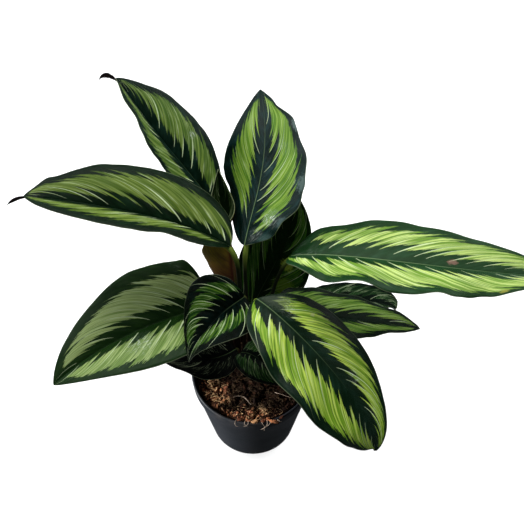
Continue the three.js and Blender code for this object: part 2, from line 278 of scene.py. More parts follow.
def mesh_from(shape, name):
    """Keeps a finished shape as a mesh."""
    mesh = bpy.data.meshes.new(name)
    shape.to_mesh(mesh)
    shape.free()
    return mesh


floor_shape = bmesh.new()
bmesh.ops.create_grid(floor_shape, x_segments=FLOOR_SQUARES, y_segments=FLOOR_SQUARES, size=FLOOR_SIZE / 2)
floor = placed("studio_floor", mesh_from(floor_shape, "studio_floor"))
floor_paint, _, floor_shader = new_material("floor_paint", 0.9, 0.1)
floor_shader.inputs["Base Color"].default_value = (0.9, 0.9, 0.9, 1)
floor.data.materials.append(floor_paint)
floor.visible_diffuse = False
floor.visible_glossy = False

world = bpy.data.worlds.new("studio_sky")
world.use_nodes = True
sky = world.node_tree.nodes["Background"]
sky.inputs["Color"].default_value = SKY_COLOUR
sight = world.node_tree.nodes.new("ShaderNodeLightPath")
seen = Term(world.node_tree, sight.outputs["Is Camera Ray"])
strength = seen * (1 - SKY_STRENGTH) + SKY_STRENGTH
world.node_tree.links.new(strength.socket, sky.inputs["Strength"])
bpy.context.scene.world = world
print("floor:", FLOOR_SIZE, "m, sky strength:", SKY_STRENGTH)

# %% Lamps
WARM_WHITE = (1.0, 0.99, 0.97)
COOL_WHITE = (0.97, 0.985, 1.0)


def soft_lamp(name, place, power, size, colour):
    """A square lamp that looks at the middle of the plant."""
    data = bpy.data.lights.new(name, "AREA")
    data.energy = power
    data.size = size
    data.color = colour
    lamp = placed(name, data)
    lamp.location = place
    lamp.rotation_euler = (Vector(place) - AIM).to_track_quat("Z", "Y").to_euler()
    return lamp


def flag_off(lamp, group_name):
    """Lets the lamp shine on, and be shaded by, the pieces of one new group only."""
    group = bpy.data.collections.new(group_name)
    lamp.light_linking.receiver_collection = group
    lamp.light_linking.blocker_collection = group
    return group


soft_lamp("top_lamp", (-0.15, 0.45, 2.1), 27, 1.1, WARM_WHITE)
soft_lamp("left_lamp", (-1.65, 0.45, 1.15), 20, 1.0, COOL_WHITE)
soft_lamp("right_lamp", (1.35, 0.95, 1.2), 15, 1.0, COOL_WHITE)
pot_lamp = soft_lamp("pot_lamp", (-1.35, -0.2, 0.45), 94, 0.5, WARM_WHITE)
pot_group = flag_off(pot_lamp, "pot_group")

ground_light = bpy.data.lights.new("ground_lamp", "SUN")
ground_light.energy = 2.9
ground_light.angle = 0.5
ground_lamp = placed("ground_lamp", ground_light)
ground_lamp.location = (0, 0, 3)
flag_off(ground_lamp, "only_floor").objects.link(floor)

# %% [markdown]
# ## Where each leaf goes
#
# Every leaf follows one recipe. Its midrib, `rib`, is a curve with four control points. At each place
# on it the blade's cross-section has a `width`, a turn about the midrib (`roll`), and on either side a
# slope (`fold`) that eases off to the margin (`edge`), so the halves fold up like a shallow roof
# turned over. The numbers are the ones that the solids were made from, in millimetres and degrees, so
# the dressed leaf lies on its solid. `root` is where the stalk stands, and `lean`, `rise` and `neck`
# say how it leaves the soil and meets the blade.
#
# `sweep` is how far the side veins run on towards the tip before they meet the margin, and `fan` how
# soon they do so. `ripple` says how high the margins wave on the left and the right, how often, and
# where each side starts. `bumps` are small swells and dents of the margin: the side, where they are,
# how long and how far out. One leaf is still unrolling: `unroll` says between which shares of its
# length it turns, and `open` how its margins slope at the tip.

# %% Leaf records
LEAVES = {
    "leaf_back_left": dict(
        root=(-11, 38), stalk=1.7, lean=(0, 0.45), rise=0.45, neck=10,
        rib=((-32, 113, 209), (-76, 145, 258), (-96, 152, 283), (-122, 166, 327)),
        width=40, ends=(0.7, 0.8), roll=(0, -20), fold=(43, 43), edge=(4, 4), sweep=(0.5, 0.6),
        bumps=((-1, 0.62, 0.12, 3.5), (-1, 0.9, 0.07, 4.0), (1, 0.3, 0.15, 1.8), (1, 0.72, 0.09, 2.8)),
        dry_tip=((-131.5, 165, 336.5), (-137, 163, 327)),
    ),
    "leaf_left": dict(
        root=(-14, 21), stalk=2, lean=(0, 0), rise=0.45, neck=20,
        rib=((-19, 43, 238), (-61, 68, 246), (-128, 47, 290), (-199, 70, 275)),
        width=45, ends=(0.62, 0.8), roll=(-8, 7), fold=(54, 48), edge=(5, 5), sweep=(0.36, 0.5),
        fan=0.25,
        bumps=((-1, 0.38, 0.09, -3.8), (1, 0.71, 0.08, 2.2), (1, 0.92, 0.03, 3.0)),
        dry_tip=((-210, 69, 272), (-215.5, 67, 266)), dry_width=1.9,
    ),
    "leaf_back": dict(
        root=(-3, 29), stalk=1.7, lean=(0, 0), rise=0.45, neck=22,
        rib=((-6.5, 48, 234), (0, 76, 256), (21, 83, 308), (8, 160, 319)),
        width=45, ends=(0.61, 0.83), roll=(45, -4), fold=(-13, -2), edge=(-1, 0), sweep=(0.6, 0.52),
        fan=0.22,
        ripple=(-1.1, -2.3, 3.6, 0.7, -1.6),
        bumps=((-1, 0.85, 0.09, 1.5), (1, 0.3, 0.04, -2.0), (1, 0.41, 0.04, 1.5), (1, 0.52, 0.03, 1.2),
               (1, 0.73, 0.05, -2.0), (1, 0.84, 0.03, 1.6), (1, 0.91, 0.03, -2.6)),
    ),
    "leaf_right_high": dict(
        root=(13, 27), stalk=1.7, lean=(0, 0), rise=0.6, neck=14,
        rib=((35, 34, 236), (75, 18, 266), (190, 2, 248), (255, 0, 251)),
        width=40, ends=(0.47, 0.71), roll=(11, -12), fold=(15, 22), edge=(2, 2), sweep=(0.42, 0.37),
        ripple=(1.4, 5.9, 3.9, -1.7, -0.6),
        bumps=((-1, 0.22, 0.07, -2.6), (-1, 0.48, 0.07, 1.6), (-1, 0.67, 0.05, -2.2), (1, 0.48, 0.04, -2.5),
               (1, 0.63, 0.03, 2.4), (1, 0.73, 0.035, -3.0)),
    ),
    "leaf_left_low": dict(
        root=(-19, 18), stalk=1.7, lean=(-0.1, 0), rise=0.45, neck=16,
        rib=((-34, 34, 167), (-44, 24, 166), (-125, 13, 162), (-182, -41, 140)),
        width=54, ends=(0.6, 0.82), roll=(5, 14), fold=(41, 36), edge=(4, 4), sweep=(0.3, 0.52),
        fan=0.25,
        bumps=((-1, 0.6, 0.25, 2.3), (1, 0.21, 0.06, 4.2), (1, 0.57, 0.12, 3.8)),
    ),
    "leaf_front_left": dict(
        root=(-8, 16), stalk=1.6, lean=(0, 0), rise=0.45, neck=8,
        rib=((-6, 0, 221), (-19, -14, 224), (-42, -21, 212), (-55, -38, 175)),
        width=38, ends=(0.6, 0.82), roll=(33, -40), fold=(42, 39), edge=(4, 4), sweep=(0.45, 0.58),
    ),
    "leaf_front_right": dict(
        root=(11, 16), stalk=1.7, lean=(0, 0), rise=0.45, neck=10,
        rib=((5, -7, 228), (30, -33, 237), (108, -85, 177), (111, -99, 125)),
        width=48, ends=(0.66, 0.78), roll=(13, 4), fold=(-9, -7), edge=(-1, -1), sweep=(0.58, 0.45),
        ripple=(0.1, -2.5, 3.8, 0.1, -0.7),
        bumps=((-1, 0.8, 0.12, -2.6), (1, 0.86, 0.04, -1.2), (1, 0.975, 0.012, -4.0)),
    ),
    "leaf_right": dict(
        root=(20, 18), stalk=1.6, lean=(0, 0), rise=0.45, neck=12,
        rib=((19, 19, 184), (36, 11, 174), (119, 11, 172), (155, 0, 171)),
        width=33, ends=(0.55, 0.79), roll=(5, 22), fold=(11, 13), edge=(1, 1), sweep=(0.55, 0.45),
        ripple=(1.3, 2.2, 4, -1.1, 1.1), bumps=((1, 0.65, 0.03, -2.0), (1, 0.86, 0.08, -2.4)),
    ),
    "leaf_right_low": dict(
        root=(24, 28), stalk=1.5, lean=(0.1, 0.1), rise=0.45, neck=12,
        rib=((38, 65, 126), (75, 54, 147), (140, 59, 137), (140, 43, 141)),
        width=32, ends=(0.6, 0.8), roll=(32, 22), fold=(13, 20), edge=(1, 2), sweep=(0.3, 0.4),
        bumps=((-1, 0.93, 0.07, -5.0),),
    ),
    "leaf_back_right": dict(
        root=(6, 35), stalk=1.7, lean=(0, 0), rise=0.45, neck=12,
        rib=((1, 43, 149), (20, 72, 178), (42, 78, 207), (35, 99, 256)),
        width=36, ends=(0.5, 0.86), roll=(-54, 20), fold=(30, 20), edge=(3, 2), sweep=(0.6, 0.42),
        fan=0.12,
    ),
    "leaf_young": dict(
        root=(-17, 33), stalk=1.5, lean=(0, 0), rise=0.45, neck=10,
        rib=((-15, 42.5, 165), (-18, 57.5, 199), (-25, 91, 223), (-30.5, 110, 268)),
        width=30, ends=(0.75, 1), roll=(150, 8), fold=(10, 10), edge=(115, 115), sweep=(0.5, 0.5),
        open=(65, 90), unroll=(0.3, 0.8),
    ),
    "leaf_small_front": dict(
        root=(1, -4), stalk=1.2, lean=(0, 0), rise=0.45, neck=8,
        rib=((-11, 2, 128), (0, -9, 149), (18, -27, 148), (37, -36, 137)),
        width=21, ends=(0.6, 0.78), roll=(-5, -40), fold=(30, 21), edge=(3, 2), sweep=(0.4, 0.4),
    ),
    "leaf_small_left": dict(
        root=(-15, 8), stalk=1.3, lean=(0, 0), rise=0.45, neck=6,
        rib=((-16, 14, 116), (-36, -1, 115), (-51, 2, 114), (-90, 5, 111)),
        width=26, ends=(0.6, 0.82), roll=(12, -10), fold=(19, 20), edge=(2, 2), sweep=(0.5, 0.6),
        bumps=((-1, 0.72, 0.12, -2.4),),
    ),
}
print("leaves:", len(LEAVES))

# %% [markdown]
# ## One blade's surface
#
# A real blade is about half a millimetre thick and never quite even: the midrib lies in a narrow
# groove, the side veins lie in shallow furrows, and the margin wavers a little. All of that is real
# shape, so it is added to the recipe here, and a bump map is left with the finest grain only.

# %% Curves along a leaf


def bezier(points, t):
    """The point at t on a curve with four control points, and its direction there."""
    a, b, c, d = (Vector(point) for point in points)
    s = 1 - t
    point = a * s**3 + b * (3 * s * s * t) + c * (3 * s * t * t) + d * t**3
    along = (b - a) * (s * s) + (c - b) * (2 * s * t) + (d - c) * (t * t)
    return point, along.normalized()


def half_width(leaf, t):
    """Half the blade's width at t, in millimetres."""
    base, tip = leaf["ends"]
    peak = (base / (base + tip)) ** base * (tip / (base + tip)) ** tip
    return leaf["width"] * t**base * (1 - t) ** tip / peak


def vein_start(leaf, t, w):
    """Where on the midrib the side vein through this place begins."""
    sweep = leaf["sweep"][0 if w < 0 else 1]
    bow = 0.7 * abs(w) + 0.3 * w * w
    return t - sweep * bow * (1 - math.exp(-t / leaf.get("fan", sweep)))


print("half of leaf_left is", round(half_width(LEAVES["leaf_left"], 0.5), 1), "mm wide in its middle")

# %% Relief of the skin
GROOVE_DEPTH = 0.55
GROOVE_WIDTH = 1.5
FURROW_DEPTH = 0.3
FURROWS = 15
FURROW_START = 8
FURROW_END = 5
MARGIN_WAVER = 0.7
WAVES = 16
WAVE_ROWS = (5, 9)


def swell_out(leaf, t, w):
    """How far the bumps of the margin push this place outwards, in millimetres."""
    total = 0
    for side, centre, span, reach in leaf.get("bumps", ()):
        if side * w > 0:
            total += reach * w * w * math.exp(-(((t - centre) / span) ** 2))
    return total


def relief(leaf, t, w, half):
    """How far the skin stands above the smooth blade, in millimetres."""
    from_rib = abs(w) * half
    groove = -GROOVE_DEPTH * math.exp(-((from_rib / GROOVE_WIDTH) ** 2)) * (1 - t)
    swell = min(1, from_rib / FURROW_START) * min(1, (1 - abs(w)) * FURROW_END)
    furrow = FURROW_DEPTH * math.sin(2 * math.pi * FURROWS * vein_start(leaf, t, w)) * swell
    row = WAVE_ROWS[0 if w < 0 else 1]
    waver = MARGIN_WAVER * noise.noise(Vector((t * WAVES, row, leaf["width"]))) * w**4
    return groove + furrow + waver


print("the midrib's groove is", GROOVE_DEPTH, "mm deep and the furrows are", FURROW_DEPTH, "mm")

# %% A point of the blade
UP = Vector((0, 0, 1))


def turned_share(leaf, t):
    """How much of its turn about the midrib the blade has made at t."""
    if "unroll" not in leaf:
        return t
    first, last = leaf["unroll"]
    share = min(1, max(0, (t - first) / (last - first)))
    return share * share * (3 - 2 * share)


def blade_point(leaf, t, w):
    """A point of the blade, in metres: t is 0 at the stalk and 1 at the tip, w is -1 left, 1 right."""
    half = 0 if w < 0 else 1
    point, along = bezier(leaf["rib"], t)
    level = along.cross(UP).normalized()
    raised = level.cross(along)
    turn = math.radians(leaf["roll"][0] + (leaf["roll"][1] - leaf["roll"][0]) * turned_share(leaf, t))
    across = level * math.cos(turn) + raised * math.sin(turn)
    facing = raised * math.cos(turn) - level * math.sin(turn)
    fold = math.radians(leaf["fold"][half])
    margin = leaf["edge"][half]
    if "open" in leaf:
        margin += (leaf["open"][half] - margin) * t
    bend = math.radians(margin) - fold
    slope = fold + bend * abs(w)
    reach = (math.sin(slope) - math.sin(fold)) / bend
    height = (math.cos(fold) - math.cos(slope)) / bend
    size = half_width(leaf, t)
    lift = relief(leaf, t, w, size)
    if "ripple" in leaf:
        amount = leaf["ripple"][half]
        count = leaf["ripple"][2]
        start = leaf["ripple"][3 + half]
        fade = math.sqrt(math.sin(math.pi * t))
        lift += amount * w * w * fade * math.sin(2 * math.pi * count * t + start)
    side = math.copysign(reach * size + swell_out(leaf, t, w), w)
    return (point + across * side + facing * (height * size + lift)) * MM


middle = blade_point(LEAVES["leaf_left"], 0.5, 0)
print("middle of leaf_left:", [round(x, 4) for x in middle])

# %% [markdown]
# ## Building a blade
#
# A flat grid has the right topology already, so it is made once and every vertex is moved to its
# place. The rows are closer together at both ends, where the outline turns fastest. Two UV maps go
# with it. `blade` says where a place is on the blade. `vein` says which side vein runs through it,
# and how far it lies from the midrib. The pattern needs both, because a prayer plant's paint follows
# its veins. A Solidify modifier then gives the sheet its thickness, its maroon underside and its
# pale cut edge.

# %% A blade's shape
BLADE_ROWS = 170
BLADE_HALF_COLUMNS = 20
BLADE_THICKNESS = 0.55
BLADE_END = 0.0007
EVEN_SHARE = 0.25
TOWARDS_RIB = 1.25
RIB_UNIT = 100


def spread(share):
    """Stations from 0 to 1 that lie closer together at both ends."""
    eased = EVEN_SHARE * share + (1 - EVEN_SHARE) * (0.5 - 0.5 * math.cos(math.pi * share))
    return BLADE_END + (1 - 2 * BLADE_END) * eased


def blade_shape(leaf, rows, half_columns):
    """A grid moved onto the blade, with its two UV maps."""
    shape = bmesh.new()
    blade_map = shape.loops.layers.uv.new("blade")
    vein_map = shape.loops.layers.uv.new("vein")
    bmesh.ops.create_grid(shape, x_segments=2 * half_columns, y_segments=rows, size=1.0)
    places = {}
    for vert in shape.verts:
        w = math.copysign(abs(vert.co.x) ** TOWARDS_RIB, vert.co.x)
        t = spread((vert.co.y + 1) / 2)
        places[vert] = (t, w)
        vert.co = blade_point(leaf, t, w)
    for face in shape.faces:
        face.smooth = True
        for loop in face.loops:
            t, w = places[loop.vert]
            loop[blade_map].uv = (t, (w + 1) / 2)
            loop[vein_map].uv = (vein_start(leaf, t, w), 0.5 + w * half_width(leaf, t) / RIB_UNIT)
    return shape


print("faces in one blade:", BLADE_ROWS * 2 * BLADE_HALF_COLUMNS)

# %% Finished pieces


def finished_piece(shape, name, materials, slot, *nodes):
    """Turns a shape into a piece of the plant that stands for its solids."""
    mesh = mesh_from(shape, name)
    for material in materials:
        mesh.materials.append(material)
    piece = placed(name, mesh)
    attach(piece, "root")
    if nodes:
        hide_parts(*nodes)
    if slot in ("pot_plastic", "soil"):
        pot_group.objects.link(piece)
    return piece


def leaf_slot(name):
    """The slot name a leaf's pieces are passed with: leaf_young for the young leaf, leaf for the rest."""
    return "leaf_young" if name == "leaf_young" else "leaf"


def thicken(piece, thickness, under=0, rim=0):
    """Gives a sheet its thickness, half to each side, and the materials of its back and edge."""
    solidify = piece.modifiers.new("thickness", "SOLIDIFY")
    solidify.thickness = thickness * MM
    solidify.offset = 0
    solidify.material_offset = under
    solidify.material_offset_rim = rim


print("a blade is", BLADE_THICKNESS, "mm thick")

# %% [markdown]
# ## The painted upper side
#
# Between the dark midrib and the dark margin runs a light band. Its edges are feathered: every side
# vein starts a new tooth of light green that is sharp on one side and slopes on the other, which is
# a sawtooth when it is drawn against the veins. So the pattern counts the veins into lanes, and
# takes a chance value for each lane. The sawtooth within the lane moves the band's two edges, shades
# the lane from bright to deep green, and places the thin white streak along the sharp side.
#
# A painted image would do as well, but only for one leaf. Formulas on the vein map give each leaf its
# own pattern from a few numbers.

# %% Leaf tones
MIDRIB = paint(124, 152, 104)
MARGIN_LINE = paint(140, 156, 122)
STREAK = paint(220, 240, 190)
# The pale of the painted highlights, laid in flecks on the leaves.
SHEEN_WHITE = paint(232, 242, 234)
SOFT_EDGE = 0.01
print("white streak:", [round(x, 3) for x in STREAK])

# %% [markdown]
# A leaf's look is a set of named numbers, and most leaves share most of them. Pairs are for the left
# and the right half, and shares are of the half width. `light` and `green` are the tones of the band,
# and `dark` is the skin beside it. `dark_lit` is a painted sheen, laid in clouds over that dark skin,
# and painted shade in the band's furrows. `gloss` is the skin's roughness, so a lower one shines
# more. `midrib` is how strong the pale line on the midrib starts.
#
# `teeth` counts the lanes from stalk to tip. `inner` and `outer` are where the band begins and ends,
# `start` the vein it begins at, `spike` how far the teeth cut into it, and `tip` and `taper` how it
# closes at the tip. `streaks` is the share of lanes with a streak. `shade` is painted light and shade
# that lifts or dims a half, and `fade` dims it towards the margin. `bloom` lists painted highlights,
# pale flecks where the wax would shine, and `blemish` patches of another tone, some of them real marks
# and some painted light or sheen: where, how far and how strong or which colour.

# %% Common look
COMMON_LOOK = dict(
    dark=(5, 26, 8), dark_lit=(22, 50, 28), gloss=0.34, specular=0.14, midrib=0.5,
    teeth=13, inner=(0.09, 0.09), outer=(0.88, 0.88), start=(0.0, 0.0), spike=0.24, tip=0.04, taper=0.1,
    streaks=0.65, streak_width=0.15, streak_reach=0.5, streak_tone=0.9,
    shade=(0.0, 0.0), fade=0.5, bloom=(), blemish=(),
)


def half_of(at, pair):
    """The first of the pair on the left half and the second on the right."""
    return at.right * (pair[1] - pair[0]) + pair[0]


def away_from(at, spot_t, spot_w):
    """How far a place lies from a spot, where a blade is about four half widths long."""
    away = ((at.t - spot_t) * 4).math("POWER", 2.0) + (at.w - spot_w).math("POWER", 2.0)
    return away.math("SQRT")


def lanes_on(tree, teeth, seed):
    """What the pattern knows of each place: the blade's maps, its lane and the lane's chances."""
    at = SimpleNamespace()
    at.t, across = term_uv(tree, "blade")
    at.vein, at.rib = term_uv(tree, "vein")
    at.w = across * 2 - 1
    at.a = at.w.size()
    at.right = at.w.math("GREATER_THAN", 0.0)
    at.both = at.a + at.right
    lane = at.vein * teeth + at.right * 37.0 + seed
    lane = lane + term_noise(lane, at.right, 0.7, 1.0, 1.0) * 0.9
    count = lane.math("FLOOR")
    at.chance, at.second, at.third = (term_luck(count + shift) for shift in (0.11, 0.43, 0.79))
    at.step = lane.part()
    at.small = (lane * 3.37 + 0.2).part()
    at.smaller = (lane * 8.1 + 0.6).part()
    at.thread = term_noise(at.vein, at.both, 62, 1.8)
    return at


print("shared numbers of a look:", len(COMMON_LOOK))

# %% Band and streaks


def lay_band(at, look):
    """The share of the light band at each place, between two edges that the lanes move."""
    at.from_start = at.vein - half_of(at, look.start)
    at_base = (at.from_start * -17.0).math("EXPONENT").math("MINIMUM", 1.0)
    at_tip = at.t.ramp(1 - look.tip * 1.8, 1 - look.tip * 0.3)
    at.edge = half_of(at, look.inner) + at_base * 0.36 + at_tip * 0.15
    tooth = at.step.math("POWER", 0.7) * (at.chance + 0.45) * look.spike
    band_from = at.edge + tooth + at.small.math("POWER", 0.7) * 0.07 + at.smaller * 0.03
    ragged = at.step.flipped() * (at.second * 0.14 + 0.05) + at.small.flipped() * 0.07 + at.smaller * 0.025
    band_to = half_of(at, look.outer) + 0.06 - ragged - at_base * 0.1 - at_tip * 0.6
    band_to = band_to - at.t.ramp(0.6, 1.0) * look.taper
    inside = at.a.ramp(band_from - SOFT_EDGE, band_from + SOFT_EDGE)
    outside = at.a.ramp(band_to - SOFT_EDGE, band_to + SOFT_EDGE)
    return inside * outside.flipped() * at.from_start.ramp(0.0, 0.012)


def band_skin(at, look):
    """The band's colours: bright and deep green threads, slits, and painted shade in the furrows."""
    green = paint(*look.green)
    broad = term_noise(at.vein, at.both, 26, 1.4)
    fine = term_noise(at.vein, at.both, 130, 3.0)
    cloud = term_noise(at.t, at.w, 5, 1.5)
    bright = at.step * -0.4 + at.small * -0.2 + (broad - 0.5) * 0.9
    bright = bright + (at.thread - 0.5) * 2.8 + (cloud - 0.5) * 0.9
    bright = bright + half_of(at, look.shade) + (at.a * -look.fade + 1.05)
    skin = blended(bright.ramp(0.0, 1.0), green, paint(*look.light))
    slit = at.step.ramp(0.84, 0.97) * at.third + at.small.ramp(0.8, 0.97) * at.second * 0.6
    skin = blended(slit * 0.9, skin, green)
    # Painted shade: dark lines along the furrows between the veins.
    furrow = (at.small - 0.9).size().ramp(0.02, 0.09).flipped() * (at.third * 0.5 + 0.3)
    skin = blended(furrow, skin, paint(*look.dark_lit))
    skin = blended(fine.ramp(0.54, 0.68) * bright.ramp(0.1, 1.1) * 0.5, skin, STREAK)
    return blended(fine.ramp(0.3, 0.44).flipped() * 0.5, skin, green)


def streak_share(at, look):
    """The share of the thin pale streak that runs along the sharp side of some teeth."""
    along = (at.a - at.edge + 0.015) / ((at.chance + 0.6) * look.streak_reach)
    thin = (along.ramp(-0.15, 0.45) * 0.9 + 0.1) * (along * along).flipped()
    half = thin * (at.third * 0.8 + 0.4) * look.streak_width
    share = (at.step - 0.03).size().ramp(half * 0.3, half * 0.8).flipped()
    share = share * along.ramp(0.0, 0.04) * along.ramp(0.5, 1.0).flipped()
    return share * at.second.math("LESS_THAN", look.streaks) * at.from_start.ramp(0.03, 0.06)


print("the band's edges are", SOFT_EDGE, "of the half width soft")

# %% Leaf paint


def with_spots(at, look, band, skin):
    """Lays painted highlights in fine flecks over the skin, then patches of real marks and painted light."""
    fleck = term_noise(at.vein, at.a, 76, 24.0, 3.0).ramp(0.57, 0.61)
    for spot_t, spot_w, radius, strength in look.bloom:
        near = away_from(at, spot_t, spot_w).ramp(radius * 0.2, radius).flipped()
        skin = blended(near * (fleck * 0.88 + 0.12) * (band * 0.75 + 0.25) * strength, skin, SHEEN_WHITE)
    for spot_t, spot_w, radius, colour in look.blemish:
        away = away_from(at, spot_t, spot_w) + (term_noise(at.t, at.w, 90, 24) - 0.5) * radius
        skin = blended(away.ramp(radius * 0.4, radius).flipped() * 0.7, skin, paint(*colour))
    return skin


def leaf_paint(name, seed, look):
    """The upper side of one leaf."""
    material, tree, shader = new_material(name, look.gloss, look.specular)
    at = lanes_on(tree, look.teeth, seed)
    band = lay_band(at, look)
    # Painted sheen: the dark skin is mixed in clouds with its lit tone.
    sheen_cloud = term_noise(at.vein, at.both, 34, 3.0) * 0.7 + term_noise(at.t, at.w, 9, 3.0) * 0.6 - 0.15
    skin = blended(sheen_cloud.ramp(0.35, 1.0), paint(*look.dark), paint(*look.dark_lit))
    skin = blended(band, skin, band_skin(at, look))
    skin = blended(streak_share(at, look) * look.streak_tone, skin, STREAK)

    rib_half = at.t.flipped() * 0.6 + 0.25
    rib_strength = (at.t * -1.1 + look.midrib).math("MAXIMUM", 0.0)
    from_rib = (at.rib - 0.5).size() * RIB_UNIT
    rib_line = from_rib.ramp(rib_half * 0.45, rib_half).flipped() * rib_strength
    skin = blended(rib_line, skin, MIDRIB)
    skin = blended(at.a.ramp(0.984, 0.996) * 0.5, skin, MARGIN_LINE)
    colour_surface(shader, with_spots(at, look, band, skin))

    grain = term_noise(at.vein, at.both, 300, 40.0) + at.thread * 0.8 + rib_line * -0.5
    raise_surface(shader, grain, 0.0003, 0.8)
    satin = band * 0.06 + sheen_cloud * 0.1 + (look.gloss - 0.06)
    tree.links.new(satin.socket, shader.inputs["Roughness"])
    return material


print("midrib line:", [round(x, 3) for x in MIDRIB])

# %% [markdown]
# ## The underside and the cut edge
#
# Turned over, the leaf is wine red, with the light band showing through as a paler, greener shadow.
# The edge is a line of pale, waxy skin that catches the light all round the leaf.

# %% Underside and edge paint
WINE = paint(72, 24, 38)
WINE_PALE = paint(104, 58, 48)
RIB_BROWN = paint(128, 96, 60)


def underside_paint(name, wine, pale, low=0.25, high=0.8, first=-0.2, last=-0.1):
    """The paler band lies between the shares low and high of the width, past first to last of the length."""
    material, tree, shader = new_material(name, 0.42, 0.35)
    t, across = term_uv(tree, "blade")
    vein, rib = term_uv(tree, "vein")
    a = (across * 2 - 1).size()
    fibre = term_noise(vein, a, 70, 1.5)
    band = a.ramp(low - 0.1, low + 0.1) * a.ramp(high - 0.08, high + 0.08).flipped()
    skin = blended(band * t.ramp(first, last) * (fibre * 0.9 + 0.1), wine, pale)
    colour_surface(shader, blended((rib - 0.5).size().ramp(0.004, 0.012).flipped() * 0.7, skin, RIB_BROWN))
    raise_surface(shader, fibre + term_noise(vein, a, 400, 50.0) * 0.5, 0.0003, 0.6)
    return material


leaf_under = underside_paint("leaf_under", WINE, WINE_PALE)
leaf_edge, edge_tree, edge_shader = new_material("leaf_edge", 0.4, 0.4)
worn = term_noise(*term_uv(edge_tree, "blade"), 60, 2.0)
colour_surface(edge_shader, blended(worn, paint(96, 112, 74), paint(158, 168, 128)))
print("sheet materials:", leaf_under.name, leaf_edge.name)
